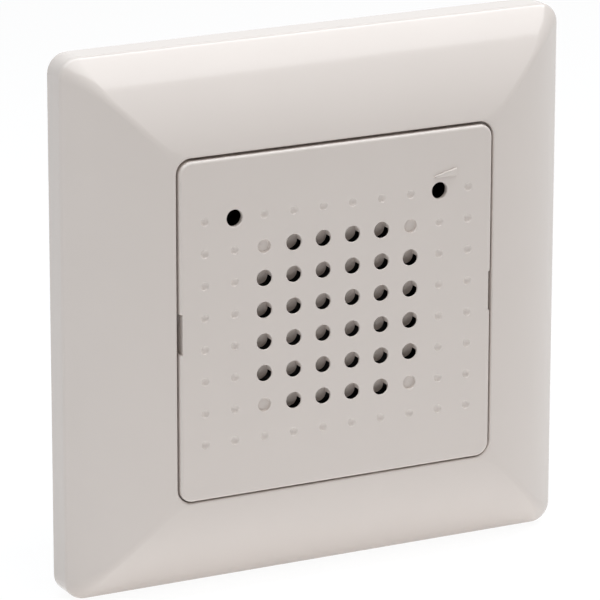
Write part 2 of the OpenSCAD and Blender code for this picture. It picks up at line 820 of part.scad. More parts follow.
// One lead: rings of points from the tag to the board, bowed sideways between them
module speaker_lead() {
    top_z = basket_under_z - tag_t;
    steps = lead_rings - 1;
    points = [
        for (n = [0 : steps], s = [0 : lead_sides - 1])
            let (t = n / steps, turn = 360 * s / lead_sides, bow = lead_bow * sin(180 * t) ^ 2)
                [
                    lead_x + bow + lead_r * cos(turn),
                    lead_y + lead_r * sin(turn),
                    top_z + (board_front_z - top_z) * t
                ]
    ];
    last = steps * lead_sides;
    side_faces = [
        for (n = [0 : steps - 1], s = [0 : lead_sides - 1])
            let (a = n * lead_sides + s, b = n * lead_sides + (s + 1) % lead_sides)
                each [[a, b, b + lead_sides], [a, b + lead_sides, a + lead_sides]]
    ];
    start_face = [for (s = [lead_sides - 1 : -1 : 0]) s];
    end_face = [for (s = [0 : lead_sides - 1]) last + s];
    polyhedron(points, concat(side_faces, [start_face, end_face]));
}

module speaker_leads() {
    color([0.6, 0.1, 0.1]) on_wall() both_sides() speaker_lead();
}

module circuit_board() {
    color([0.1, 0.35, 0.2]) on_wall() difference() {
        prism(board_w, board_corner_r, board_rear_z, board_front_z);
        both_sides() translate([housing_screw_x, housing_screw_y, 0])
            rod(post_r + seat_gap, board_rear_z - cut, board_front_z + cut);
        both_sides() translate(board_screw_at)
            rod(board_screw_r + seat_gap, board_rear_z - cut, board_front_z + cut);
    }
}

module board_screws() {
    grip = board_t + board_screw_grip - screw_tip_gap;
    color(zinc) on_wall() both_sides() translate(board_screw_at)
        screw_from_rear(board_screw_r, board_post_r, board_head_h, board_rear_z, grip);
}

module volume_trimmer() {
    color([0.15, 0.3, 0.6]) on_wall() translate([control_x, control_y, 0]) difference() {
        rod(trimmer_r, board_front_z, trimmer_top_z);
        rod(spindle_r + run_gap, trimmer_top_z - trimmer_socket, trimmer_top_z + cut);
    }
}

// Spindle with a collar on the trimmer and a screwdriver slot at the front
module volume_spindle() {
    collar_z = trimmer_top_z + spindle_play;
    color(pale_plastic) on_wall() translate([control_x, control_y, 0]) difference() {
        union() {
            rod(spindle_r, trimmer_top_z - trimmer_socket + spindle_play, spindle_top_z);
            rod(spindle_collar_r, collar_z, collar_z + spindle_collar_h);
        }
        block(2 * spindle_r + cut, driver_slot_w, spindle_top_z - driver_slot_d, spindle_top_z + cut);
    }
}

module melody_switch() {
    well_z = switch_top_z - plunger_seat - pin_travel - plunger_spare;
    color(dark_plastic) on_wall() translate([-control_x, control_y, 0]) difference() {
        block(switch_w, switch_w, board_front_z, switch_top_z);
        rod(plunger_r + run_gap, well_z, switch_top_z + cut);
    }
}

module melody_plunger() {
    color([0.1, 0.1, 0.1]) on_wall() translate([-control_x, control_y, 0])
        rod(plunger_r, switch_top_z - plunger_seat, pin_foot_z);
}

// Push pin with the collar that keeps it behind the carrier
module melody_pin() {
    collar_z = support_t - pin_collar_play - pin_collar_h;
    color(pale_plastic) on_wall() translate([-control_x, control_y, 0]) {
        rod(pin_r, pin_foot_z, spindle_top_z);
        rod(pin_collar_r, collar_z, collar_z + pin_collar_h);
    }
}

module terminal_block() {
    color([0.2, 0.45, 0.3]) on_wall() difference() {
        translate([0, block_front_y + block_d / 2, 0]) block(block_w, block_d, block_rear_z, board_rear_z);
        for (n = [1 : poles])
            translate([pole_x(n), 0, 0]) pole_cavity();
    }
}

// Room for one pole: cage chamber, contact, wire window, screw bore
module pole_cavity() {
    chamber_w = clamp_w + 2 * clamp_gap;
    chamber_end_y = block_front_y + cavity_d;
    chamber_y = clamp_y - clamp_d / 2 - clamp_gap;
    translate([0, chamber_y + (clamp_d + 2 * clamp_gap) / 2, 0])
        block(chamber_w, clamp_d + 2 * clamp_gap, cavity_rear_z, board_rear_z - cavity_floor_t);
    translate([-contact_w / 2 - clamp_gap, block_front_y - cut, contact_rear_z - clamp_gap / 2])
        cube([contact_w + 2 * clamp_gap, chamber_end_y - block_front_y + cut, contact_t + clamp_gap]);
    translate([-contact_pin_w / 2 - clamp_gap, chamber_end_y - contact_t - 2 * clamp_gap, contact_rear_z])
        cube([contact_pin_w + 2 * clamp_gap, contact_t + 2 * clamp_gap, board_rear_z - contact_rear_z + cut]);
    translate([-wire_window_w / 2, block_front_y - cut, contact_front_z])
        cube([wire_window_w, chamber_y - block_front_y + 2 * cut, clamp_open]);
    translate([0, clamp_y, 0]) {
        rod(clamp_screw_r + run_gap, screw_seat_z - cut, cavity_rear_z + cut);
        rod(screw_head_r + clamp_gap, block_rear_z - cut, screw_seat_z);
    }
}

// Contact bars, each with its pin down to the board
module terminal_contacts() {
    bar_y = block_front_y + clamp_gap;
    end_y = block_front_y + cavity_d - clamp_gap;
    color(brass) on_wall()
        for (n = [1 : poles])
            translate([pole_x(n), 0, 0]) {
                translate([-contact_w / 2, bar_y, contact_rear_z])
                    cube([contact_w, end_y - bar_y, contact_t]);
                translate([-contact_pin_w / 2, end_y - contact_t, contact_rear_z])
                    cube([contact_pin_w, contact_t, board_rear_z - contact_rear_z]);
            }
}

// Captive clamp screw of one pole, with its screwdriver slot at the rear
module terminal_screw(n) {
    head_z = screw_seat_z - screw_head_h;
    color(zinc) on_wall() translate([pole_x(n), clamp_y, 0]) difference() {
        union() {
            rod(clamp_screw_r, screw_seat_z - fuse, screw_tip_z);
            rod(screw_head_r, head_z, screw_seat_z);
        }
        block(2 * screw_head_r + cut, driver_slot_w, head_z - cut, head_z + driver_slot_d - 0.2);
    }
}

// Rising cage of one pole: nut wall at the rear, open along the wire
module wire_clamp(n) {
    color(zinc) on_wall() translate([pole_x(n), clamp_y, 0]) difference() {
        block(clamp_w, clamp_d, cage_rear_z, cage_front_z);
        block(clamp_w - 2 * clamp_wall, clamp_d + 2 * cut, nut_front_z, cage_front_z - clamp_wall);
        rod(clamp_screw_r + run_gap, cage_rear_z - cut, nut_front_z + cut);
    }
}

// Row of flat legs on both long sides of a chip, down to the board
module chip_legs(count, step, span, leg_w, top_z) {
    leg_t = 0.3;
    for (side = [-1, 1], n = [0 : count - 1])
        translate([(n - (count - 1) / 2) * step, side * span / 2, 0]) {
            block(leg_w, leg_t, top_z, board_rear_z);
            translate([0, -side * span / 8, 0]) block(leg_w, span / 4 + leg_t, top_z, top_z + leg_t);
        }
}

module sound_chip() {
    chip_w = 9.6;
    chip_d = 6.4;
    chip_t = 3.2;
    notch_r = 0.8;
    notch_t = 0.4;
    leg_w = 0.5;
    standoff = 0.5;
    chip_rear_z = board_rear_z - standoff - chip_t;
    color([0.08, 0.08, 0.09]) on_wall() translate(chip_at) {
        difference() {
            block(chip_w, chip_d, chip_rear_z, board_rear_z - standoff);
            translate([-chip_w / 2, 0, 0]) rod(notch_r, chip_rear_z - cut, chip_rear_z + notch_t);
        }
        chip_legs(4, chip_leg_step, chip_leg_span, leg_w, chip_rear_z + chip_t / 2);
    }
}

module bridge_rectifier() {
    body_w = 8;
    body_d = 6.2;
    body_t = 2.6;
    leg_w = 1;
    standoff = 0.4;
    body_rear_z = board_rear_z - standoff - body_t;
    color([0.1, 0.1, 0.1]) on_wall() translate(bridge_at) {
        block(body_w, body_d, body_rear_z, board_rear_z - standoff);
        chip_legs(2, bridge_leg_step, bridge_leg_span, leg_w, body_rear_z + body_t / 2);
    }
}

// Can with a rolled groove near its foot
module capacitor() {
    can_r = 3.15;
    can_h = 7.5;
    groove_r = 0.4;
    groove_h = 1.4;
    color([0.12, 0.14, 0.3]) on_wall() translate(capacitor_at)
        translate([0, 0, board_rear_z]) mirror([0, 0, 1]) rotate_extrude() difference() {
            square([can_r, can_h]);
            translate([can_r + groove_r / 2, groove_h]) circle(groove_r);
        }
}

// Three resistors lying on the board, each with its leads bent down
module resistors() {
    body_r = 1.1;
    body_l = 6;
    end_l = 1.4;
    wire_r = 0.3;
    lift = 0.1;
    axis_z = board_rear_z - body_r - lift;
    lead_at = body_l / 2 + end_l;
    color([0.75, 0.62, 0.45]) on_wall()
        for (n = [0 : 2])
            translate([resistor_at[0], resistor_at[1] - resistor_step * n, axis_z]) {
                rotate([0, 90, 0]) rod(body_r, -body_l / 2, body_l / 2);
                rotate([0, 90, 0]) rod(wire_r, -lead_at, lead_at);
                both_sides() translate([lead_at - wire_r, 0, 0]) rod(wire_r, 0, board_rear_z - axis_z);
            }
}

module rear_housing() {
    relief_z = board_front_z - board_gap;
    slot_top_z = board_rear_z - 1;
    slot_w = block_w + 1;
    color(pale_plastic) on_wall() difference() {
        union() {
            difference() {
                prism(housing_w, housing_corner_r, housing_rear_z, support_t);
                prism(housing_inner_w, housing_inner_r, rear_wall_z, support_t + cut);
            }
            both_sides() translate([housing_screw_x, housing_screw_y, 0])
                rod(housing_boss_r, housing_rear_z + fuse, board_rear_z - post_reach);
        }
        both_sides() translate([housing_screw_x, housing_screw_y, 0]) {
            rod(housing_screw_r + seat_gap, housing_rear_z - cut, board_rear_z);
            rod(housing_head_r + housing_head_gap, housing_rear_z - cut, web_rear_z);
        }
        translate([control_x, control_y, 0]) rod(trimmer_r + board_gap, relief_z, support_t + cut);
        translate([-control_x, control_y, 0])
            block(switch_w + 2 * board_gap, switch_w + 2 * board_gap, relief_z, support_t + cut);
        translate([0, -housing_w / 2, 0])
            block(slot_w, 4 * housing_wall, slot_top_z - wire_slot_h, slot_top_z);
        for (n = [1 : poles])
            translate([pole_x(n), clamp_y, 0]) rod(driver_hole_r, housing_rear_z - cut, rear_wall_z + cut);
    }
}

module housing_screws() {
    grip = web_t + housing_grip - screw_tip_gap;
    color(zinc) on_wall() both_sides() translate([housing_screw_x, housing_screw_y, 0])
        screw_from_rear(housing_screw_r, housing_head_r, housing_head_h, web_rear_z, grip);
}

cover_frame();
center_plate();
support_plate();
carrier_screws();
speaker_carrier();
speaker_gasket();
speaker_basket();
speaker_top_plate();
speaker_magnet();
speaker_yoke();
voice_coil();
speaker_cone();
dust_cap();
cone_surround();
speaker_tags();
speaker_leads();
circuit_board();
board_screws();
volume_trimmer();
volume_spindle();
melody_switch();
melody_plunger();
melody_pin();
terminal_block();
terminal_contacts();
terminal_screw(1);  // terminal_screw_1
terminal_screw(2);  // terminal_screw_2
terminal_screw(3);  // terminal_screw_3
wire_clamp(1);  // wire_clamp_1
wire_clamp(2);  // wire_clamp_2
wire_clamp(3);  // wire_clamp_3
sound_chip();
bridge_rectifier();
capacitor();
resistors();
rear_housing();
housing_screws();
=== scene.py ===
"""Looks of a flush-mounted door chime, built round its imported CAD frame."""

import math

import bmesh
import bpy
from bpy.props import FloatProperty, FloatVectorProperty, PointerProperty
from mathutils import Matrix, Vector


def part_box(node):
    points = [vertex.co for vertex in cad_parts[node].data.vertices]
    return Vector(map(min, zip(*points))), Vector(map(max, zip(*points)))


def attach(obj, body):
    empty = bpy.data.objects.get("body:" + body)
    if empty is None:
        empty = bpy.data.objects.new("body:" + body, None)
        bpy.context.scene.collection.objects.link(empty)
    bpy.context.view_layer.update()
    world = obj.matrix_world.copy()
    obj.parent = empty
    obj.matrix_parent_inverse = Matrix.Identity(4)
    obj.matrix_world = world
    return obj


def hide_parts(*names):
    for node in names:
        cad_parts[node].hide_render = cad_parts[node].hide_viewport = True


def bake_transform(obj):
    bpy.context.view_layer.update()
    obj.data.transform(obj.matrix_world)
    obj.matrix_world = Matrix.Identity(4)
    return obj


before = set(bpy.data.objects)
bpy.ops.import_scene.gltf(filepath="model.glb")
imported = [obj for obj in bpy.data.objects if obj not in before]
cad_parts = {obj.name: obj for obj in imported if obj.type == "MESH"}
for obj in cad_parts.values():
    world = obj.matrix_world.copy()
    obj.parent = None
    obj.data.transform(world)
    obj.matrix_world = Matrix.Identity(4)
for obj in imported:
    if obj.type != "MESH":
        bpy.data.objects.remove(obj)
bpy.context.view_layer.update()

bl_info = {
    "name": "Flush Door Chime",
    "version": (1, 0, 0),
    "blender": (4, 5, 0),
    "location": "3D View > Sidebar > Chime",
    "description": "Models the cover frame and grille plate, and finishes every part of the chime",
    "category": "Object",
}

MM = 0.001
WHITE = (1.0, 1.0, 1.0)
PLATE_LOW, PLATE_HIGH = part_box("center_plate")
COVER_LOW, COVER_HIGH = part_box("cover_frame")

# Distance of points that are one, room that keeps two faces apart, and how far a cutter or a
# rib runs past the face it meets
MERGE = 0.0001 * MM
SLIVER = 0.01 * MM
OVERLAP = 0.2 * MM
RUN_OUT = MM

# How the face fits the picture, in millimetres: it stands higher and the plate is wider
FACE_RISE, PLATE_GROWTH = 0.2, 0.3

# Grid of the grille, counted from the top left
COLUMNS, ROWS = 10, 8
SIDE_COLUMNS, EDGE_ROWS = 2, 1
ACCESS_ROW, ACCESS_COLUMN = 0, 1

# Fall of a dimple's bowl from its rim to its middle, as (share of the radius, share of the depth)
DIMPLE_FALL = ((1, 0), (0.95, 0.03), (0.9, 0.1), (0.85, 0.21), (0.75, 0.42), (0.6, 0.65),
               (0.4, 0.85), (0.2, 0.965), (0.05, 1))

# Steps and sides of the round shapes
CORNER_STEPS = 14
SLOPE_STEPS = 26
FILLET_STEPS = 7
RIM_STEPS = 4
HOLE_SIDES = 48
ROLL_SIDES = 96
ROLL_SECTORS = 24
SECTOR_SLACK = 1.01
SIGN_STEPS = 3
DIMPLE_SIDES = 32
SMOOTH_ANGLE = math.radians(35)

# Places and sizes of the softboxes in metres, size of the floor, the camera's sensor and range
KEY_PLACE, KEY_SIZE = (0.09, -0.33, 0.62), (1.2, 0.3)
TOP_PLACE, TOP_SIZE = (0, -0.02, 0.42), (0.9, 0.16)
FLOOR_SIZE = 6
SENSOR_WIDTH = 36
CLIP_START, CLIP_END = 0.01, 20


def linear(red, green, blue):
    """A colour as it is seen on screen, 0 to 255, as the linear values that Blender stores."""
    def channel(value):
        value /= 255
        return value / 12.92 if value <= 0.04045 else ((value + 0.055) / 1.055) ** 2.4
    return channel(red), channel(green), channel(blue)


def length(name, description, default):
    """A length that a user can change; the default is in millimetres."""
    return FloatProperty(name=name, description=description, default=default * MM, min=0.0,
                         precision=5, unit="LENGTH")


def turn(name, description, default):
    """An angle that a user can change; the default is in degrees."""
    return FloatProperty(name=name, description=description, default=math.radians(default),
                         subtype="ANGLE")


def amount(name, description, default):
    """A plain number that a user can change."""
    return FloatProperty(name=name, description=description, default=default, min=0.0)


def tint(name, description, *screen):
    """A colour that a user can change; the default is given as seen on screen."""
    return FloatVectorProperty(name=name, description=description, default=linear(*screen),
                               min=0.0, max=1.0, size=3, subtype="COLOR")


class ChimeFrameSizes(bpy.types.PropertyGroup):
    """Sizes of the cover frame"""

    width: length("Width", "Outer width and height", (COVER_HIGH.x - COVER_LOW.x) / MM)
    corner: length("Corner", "Radius of the outer corners", 3.0)
    mitre: length("Mitre", "Radius of the soft crease where two slopes meet", 0.8)
    corner_reach: length("Corner reach", "How far in from the edge a round corner runs out", 7.0)
    lip_reach: length("Lip reach", "How far out from the lip a crease runs out", 2.7)
    edge_height: length("Edge height", "Where the slope's arc meets the outer edge", 4.3)
    lip_height: length("Lip height", "Height of the lip beside the plate",
                       -COVER_LOW.y / MM + FACE_RISE)
    bulge: length("Bulge", "Radius of the bulging slope", 25.0)
    shoulder: length("Shoulder", "Radius between edge and slope", 1.0)
    lip_round: length("Lip rounding", "Rounding of the lip's edge", 0.28)
    foot: length("Foot", "Chamfer of the outer edge at the wall", 0.25)
    wall: length("Wall", "Thickness of the wall", 2.2)
    ledge_reach: length("Ledge reach", "How far the ledge reaches under the plate", 1.7)
    ledge: length("Ledge", "Thickness of the ledge", 1.6)
    collar: length("Collar", "How far the ledge's block reaches out behind the slope", 1.4)
    rib: length("Rib", "Thickness of a rib behind the slope", 1.0)
    rib_offset: length("Rib offset", "Distance of the ribs from the middle of a side", 14.0)
    rib_low: length("Rib foot", "Height of a rib's foot above the wall", 3.5)
    rib_high: length("Rib top", "Height of a rib's inner end above the wall", 10.6)


class ChimePlateSizes(bpy.types.PropertyGroup):
    """Sizes of the centre plate"""

    width: length("Width", "Width and height",
                  (PLATE_HIGH.x - PLATE_LOW.x) / MM + PLATE_GROWTH)
    face: length("Face", "Height of the face above the wall", -PLATE_LOW.y / MM + FACE_RISE)
    foot: length("Foot", "Height of the skirt's foot above the wall", -PLATE_HIGH.y / MM)
    corner: length("Corner", "Radius of the corners", 2.0)
    gap: length("Gap", "Gap between plate and frame", 0.3)
    sink: length("Sink", "How far the plate hangs below the middle of its opening", 0.1)
    edge_round: length("Edge rounding", "Rounding of the front edge", 0.5)
    edge: length("Edge", "Thickness of the edge on the ledge", 1.8)
    skin: length("Skin", "Thickness round the holes", 1.0)
    skirt_gap: length("Skirt gap", "Gap between skirt and ledge", 0.4)
    skirt_wall: length("Skirt wall", "Thickness of the skirt", 1.2)
    notch_height: length("Notch height", "Height of the pry notches", 6.0)
    notch_depth: length("Notch depth", "Depth of the pry notches", 0.42)
    tongue: length("Tongue", "Width of a snap tongue", 9.0)
    slit: length("Slit", "Width of the slits beside a tongue", 1.0)
    slit_stop: length("Slit stop", "How far behind the edge the slits end", 1.4)
    nib_height: length("Nib height", "Height of the snap nib on a tongue", 0.8)
    nib_reach: length("Nib reach", "How far the nib reaches in from the skirt", 0.4)


class ChimeGrilleSizes(bpy.types.PropertyGroup):
    """Sizes of the sound grille"""

    pitch: length("Pitch", "Pitch of the hole grid", 4.715)
    drop: length("Drop", "How far the grid lies below the plate's centre", 0.35)
    hole: length("Hole", "Diameter of a sound hole", 2.4)
    rim: length("Rim", "Rounding of a hole's rim", 0.14)
    pocket: length("Pocket", "Depth of the hooded pocket", 1.7)
    floor: length("Floor", "Thickness of the pocket's floor", 0.8)
    hood_wall: length("Hood wall", "Wall thickness of a hood", 0.12)
    mouth_top: length("Mouth top", "How far above the centre the hood's mouth reaches", 0.05)
    lip: length("Lip", "Thickness of the face over a mouth", 0.2)
    access: length("Access hole", "Diameter of a screwdriver hole", 2.5)
    access_lip: length("Access lip", "Depth of the narrow part of a screwdriver hole", 0.6)
    access_step: length("Access step", "How much wider it is behind, in radius", 0.15)
    recess: length("Recess", "Diameter of a blind recess", 2.3)
    recess_depth: length("Recess depth", "Depth of a blind recess", 0.5)
    recess_rim: length("Recess rim", "Rounding of a recess's rim", 0.16)
    recess_hollow: length("Recess hollow", "Rounding round the floor of a recess", 0.2)
    dimple: length("Dimple", "Diameter of a dimple, rim included", 1.4)
    dimple_depth: length("Dimple depth", "Depth of a dimple", 0.28)


class ChimeSignSizes(bpy.types.PropertyGroup):
    """Sizes of the raised volume wedge"""

    length: length("Length", "Length of the wedge", 3.55)
    height: length("Height", "Height of its thick end", 1.13)
    point: length("Point", "Height of its thin end", 0.23)
    relief: length("Relief", "How far it stands proud of the plate", 0.3)
    edge: length("Edge", "Width of its slanted edges", 0.15)
    shift: length("Shift", "Distance of its middle to the right of the hole's centre", 0.89)
    above: length("Above", "Distance of its lower edge above the hole's centre", 2.02)


class ChimeRollSizes(bpy.types.PropertyGroup):
    """Sizes of the soft roll round the speaker's cone"""

    inner: length("Inner radius", "Where the lip on the cone ends", 12.3)
    start: length("Roll start", "Radius at which the roll rises", 12.9)
    thick: length("Thickness", "Thickness of the rubber", 0.3)


class ChimeFinishes(bpy.types.PropertyGroup):
    """Colours of the parts, and the polish of the face"""

    cover: tint("Cover", "Off-white of frame and plate", 212, 202, 195)
    frame_rough: amount("Frame roughness", "Roughness of the glossy frame", 0.1)
    frame_shine: amount("Frame shine", "Specular level of the glossy frame", 0.5)
    plate_rough: amount("Plate roughness", "Roughness of the satin plate", 0.28)
    plate_shine: amount("Plate shine", "Specular level of the satin plate", 0.4)
    zinc: tint("Zinc", "Plated sheet and screws", 196, 199, 203)
    carrier: tint("Carrier", "Black moulded carrier", 46, 46, 48)
    housing: tint("Housing", "Grey moulded housing", 172, 173, 172)
    foam: tint("Foam", "Closed-cell foam", 34, 34, 35)
    ferrite: tint("Ferrite", "Sintered magnet", 62, 60, 60)
    copper: tint("Copper", "Enamelled winding", 190, 112, 62)
    paper: tint("Paper", "Pressed cone paper", 44, 43, 42)
    rubber: tint("Rubber", "Soft roll round the cone", 28, 28, 29)
    phenolic: tint("Phenolic", "Tag strip", 128, 86, 48)
    lead: tint("Lead", "Insulated lead", 168, 34, 28)
    mask: tint("Solder mask", "Board", 26, 92, 52)
    trimmer: tint("Trimmer", "Trimmer body", 40, 78, 150)
    spindle: tint("Spindle", "Spindle and pin", 148, 148, 144)
    switch: tint("Switch", "Push switch", 38, 38, 40)
    terminal: tint("Terminal", "Terminal block", 70, 122, 84)
    brass: tint("Brass", "Contacts", 214, 180, 112)
    epoxy: tint("Epoxy", "Chip and rectifier", 30, 30, 32)
    can: tint("Can", "Capacitor sleeve", 34, 40, 92)
    lacquer: tint("Lacquer", "Resistor body", 208, 178, 132)


class ChimeStudioSizes(bpy.types.PropertyGroup):
    """Camera, lamps and floor"""

    lens: amount("Lens", "Focal length in millimetres on a 36 mm sensor", 284.3)
    azimuth: turn("Azimuth", "How far the camera stands to the left of the face", 27.28)
    elevation: turn("Elevation", "How far the camera stands above the face", 16.47)
    roll: turn("Roll", "Tilt of the camera about its axis", 0.1)
    distance: length("Distance", "Distance of the camera", 690.2)
    aim_x: length("Aim across", "Place of the wall's centre right of the image centre", 0.04)
    aim_y: length("Aim up", "Place of the wall's centre above the image centre", 1.235)
    floor_drop: length("Floor", "Gap between the frame's lower edge and the floor", 0.4)
    ambient: amount("Ambient", "Strength of the soft light from all round", 0.0)
    key: amount("Key", "Power of the high softbox in front, in watts", 3.0)
    top: amount("Top", "Power of the long softbox overhead, in watts", 2.5)
    top_tint: FloatVectorProperty(name="Top tint", description="Colour of the overhead softbox",
                                  default=(0.93, 1.0, 1.06), min=0.0, max=2.0, size=3,
                                  subtype="COLOR")
    shadow: amount("Shadow", "How much of the shadow the white floor shows", 0.12)
    shine: amount("Shine", "How brightly the lit floor shines up at the object", 0.365)


class Value:
    """A shader socket that takes part in Python arithmetic. Each step adds one Math node."""

    def __init__(self, finish, socket):
        self.finish = finish
        self.socket = socket

    def math(self, operation, *terms):
        return self.finish.add("ShaderNodeMath", {"operation": operation},
                               dict(enumerate(terms)))

    def __add__(self, other):
        return self.math("ADD", self, other)

    def __sub__(self, other):
        return self.math("SUBTRACT", self, other)

    def __rsub__(self, other):
        return self.math("SUBTRACT", other, self)

    def __mul__(self, other):
        return self.math("MULTIPLY", self, other)

    def __gt__(self, other):
        return self.math("GREATER_THAN", self, other)

    def __lt__(self, other):
        return self.math("LESS_THAN", self, other)

    def __abs__(self):
        return self.math("ABSOLUTE", self)

    __radd__ = __add__
    __rmul__ = __mul__

    def either(self, other):
        return self.math("MAXIMUM", self, other)

    def wave(self):
        return self.math("SINE", self)

    def root(self):
        return self.math("SQRT", self)

    def fraction(self):
        return self.math("FRACT", self)


SOCKETS = {"metallic": "Metallic", "coat_weight": "Coat Weight",
           "specular_ior_level": "Specular IOR Level"}


class Finish:
    """A material while it is made. add() makes its nodes, close() ends it on a shader."""

    output = "ShaderNodeOutputMaterial"

    def __init__(self, name):
        self.material = bpy.data.materials.new(name)
        self.clear(self.material)
        self.place = self.add("ShaderNodeTexCoord", output="Object")

    def clear(self, owner):
        owner.use_nodes = True
        self.tree = owner.node_tree
        self.tree.nodes.clear()

    def add(self, kind, settings=None, inputs=None, output=0):
        node = self.tree.nodes.new(kind)
        for name, setting in (settings or {}).items():
            if name == "stops":
                for stop, (at, grey) in zip(node.color_ramp.elements, setting):
                    stop.position = at
                    stop.color = (grey, grey, grey, 1)
            else:
                setattr(node, name, setting)
        for name, value in (inputs or {}).items():
            if isinstance(value, Value):
                self.tree.links.new(value.socket, node.inputs[name])
            else:
                node.inputs[name].default_value = value
        return Value(self, node.outputs[output])

    def axes(self):
        """The three Object coordinates."""
        split = self.add("ShaderNodeSeparateXYZ", None, {0: self.place})
        return [Value(self, socket) for socket in split.socket.node.outputs]

    def noise(self, size, detail=3.0, stretch=None):
        """Cloudy noise from 0 to 1, whose patches are about this size."""
        place = self.place
        if stretch:
            place = self.add("ShaderNodeMapping", None, {"Vector": place, "Scale": stretch})
        return self.add("ShaderNodeTexNoise", None,
                        {"Vector": place, "Scale": 1 / size, "Detail": detail}, "Fac")

    def cells(self, size):
        """Distance from the middle of cells of about this size, 0 to 1."""
        return self.add("ShaderNodeTexVoronoi", None,
                        {"Vector": self.place, "Scale": 1 / size}, "Distance")

    def ramp(self, value, *stops):
        """Stretches a part of a value's range to two greys."""
        return self.add("ShaderNodeValToRGB", {"stops": stops}, {0: value})

    def mix(self, factor, first, second):
        """Blend of two colours."""
        pair = [c if isinstance(c, Value) else (*c, 1) for c in (first, second)]
        return self.add("ShaderNodeMix", {"data_type": "RGBA"},
                        {0: factor, 6: pair[0], 7: pair[1]}, 2)

    def vary(self, factor, color, dark, light):
        """Blend of a darker and a lighter shade of one colour."""
        return self.mix(factor, shaded(color, dark), shaded(color, light))

    def bump(self, height, depth, strength=1.0, normal=None):
        """Normal of a surface that rises by depth where height goes from 0 to 1."""
        inputs = {"Height": height, "Distance": depth, "Strength": strength}
        if normal:
            inputs["Normal"] = normal
        return self.add("ShaderNodeBump", None, inputs, "Normal")

    def soft_edges(self, radius):
        """Normal that rounds the sharp edges of a CAD solid."""
        return self.add("ShaderNodeBevel", {"samples": 6}, {"Radius": radius}, "Normal")

    def white(self, kind, strength):
        """White light of one strength."""
        return self.add(kind, None, {"Color": (*WHITE, 1), "Strength": strength})

    def close(self, color, roughness, normal=None, **fixed):
        inputs = {"Base Color": color if isinstance(color, Value) else (*color, 1),
                  "Roughness": roughness}
        if normal:
            inputs["Normal"] = normal
        inputs.update({SOCKETS[name]: value for name, value in fixed.items()})
        shader = self.add("ShaderNodeBsdfPrincipled", None, inputs)
        self.add_output(shader)
        return self.material

    def add_output(self, shader):
        target = self.tree.nodes.new(self.output)
        self.tree.links.new(shader.socket, target.inputs["Surface"])


class WorldFinish(Finish):
    """The same for a world."""

    output = "ShaderNodeOutputWorld"

    def __init__(self, world):
        self.clear(world)


def shaded(color, share):
    """A colour made darker or lighter."""
    return tuple(min(1.0, c * share) for c in color)


def gloss_plastic(name, color, roughness, shine):
    """Moulded off-white plastic: faint clouding, fine polish, hardly any grain."""
    finish = Finish(name)
    cloud = finish.noise(9 * MM, 2.0)
    grain = finish.noise(0.22 * MM, 2.0)
    ripple = finish.noise(2.6 * MM, 1.0)
    flow = finish.vary(cloud, color, 0.985, 1.015)
    specks = finish.cells(1.3 * MM) < 0.035
    tone = finish.mix(specks * 0.12, flow, shaded(color, 0.72))
    polish = roughness + 0.02 * finish.noise(4 * MM) + 0.02 * grain
    skin = finish.bump(ripple, 0.003 * MM)
    normal = finish.bump(grain, 0.0016 * MM, 1.0, skin)
    return finish.close(tone, polish, normal, specular_ior_level=shine)


def moulded_plastic(name, color, roughness, edge=0.15):
    """Eroded mould texture, soft edges, pale scuffs."""
    finish = Finish(name)
    grain = finish.noise(0.25 * MM, 3.0)
    cloud = finish.noise(7 * MM, 3.0)
    scuffs = finish.ramp(finish.noise(1.6 * MM, 5.0, (1, 1, 5)), (0.66, 0), (0.8, 1))
    tone = finish.vary(cloud, color, 0.93, 1.06)
    tone = finish.mix(scuffs * 0.18, tone, shaded(color, 1.5))
    rough = roughness + 0.12 * (cloud - 0.5) + 0.1 * grain - 0.1 * scuffs
    normal = finish.bump(grain, 0.02 * MM, 0.7, finish.soft_edges(edge * MM))
    return finish.close(tone, rough, normal)


def plated_steel(name, color, edge=0.1, drawn=(1, 1, 1)):
    """Zinc-plated steel: spangled grey, faint yellow passivation, drawing marks."""
    finish = Finish(name)
    marks = finish.noise(0.3 * MM, 4.0, drawn)
    spangle = finish.cells(2.2 * MM)
    stain = finish.ramp(finish.noise(6 * MM, 4.0), (0.35, 0), (0.75, 1))
    tone = finish.vary(spangle, color, 0.86, 1.05)
    tone = finish.mix(stain * 0.22, tone, (color[0] * 1.02, color[1] * 0.93, color[2] * 0.74))
    rough = 0.24 + 0.16 * marks + 0.1 * stain
    normal = finish.bump(marks, 0.004 * MM, 0.8, finish.soft_edges(edge * MM))
    return finish.close(tone, rough, normal, metallic=1.0)


def foam_rubber(name, color):
    """Closed-cell foam with open bubbles on its cut faces, and painted shade in each bubble's pit.
    """
    finish = Finish(name)
    bubbles = finish.cells(0.35 * MM)
    # Painted shade: darker in the middle of each bubble's pit, lighter on the walls between bubbles
    tone = finish.vary(bubbles, color, 0.55, 1.5)
    normal = finish.bump(bubbles, 0.08 * MM, 0.9, finish.soft_edges(0.3 * MM))
    return finish.close(tone, 0.82 + 0.1 * bubbles, normal)


def sintered_ferrite(name, color):
    """Ground ferrite: dark grit with small chips."""
    finish = Finish(name)
    grit = finish.noise(0.12 * MM, 4.0)
    chips = finish.ramp(finish.noise(0.9 * MM, 4.0), (0.68, 0), (0.76, 1))
    tone = finish.vary(grit, color, 0.8, 1.2)
    tone = finish.mix(chips * 0.5, tone, shaded(color, 1.9))
    normal = finish.bump(grit - chips, 0.02 * MM, 0.8, finish.soft_edges(0.15 * MM))
    return finish.close(tone, 0.55 + 0.2 * grit, normal)


def wound_copper(name, color):
    """Enamelled wire laid turn by turn along the coil's axis, with painted shade in the grooves
    between turns.
    """
    finish = Finish(name)
    along = finish.axes()[1]
    turns = 0.5 + 0.5 * (along * (2 * math.pi / (0.16 * MM))).wave()
    # Painted shade: darker in the grooves between turns, lighter on their crowns
    tone = finish.vary(turns, color, 0.45, 1.1)
    return finish.close(tone, 0.3, finish.bump(turns, 0.05 * MM), metallic=0.85, coat_weight=0.5)


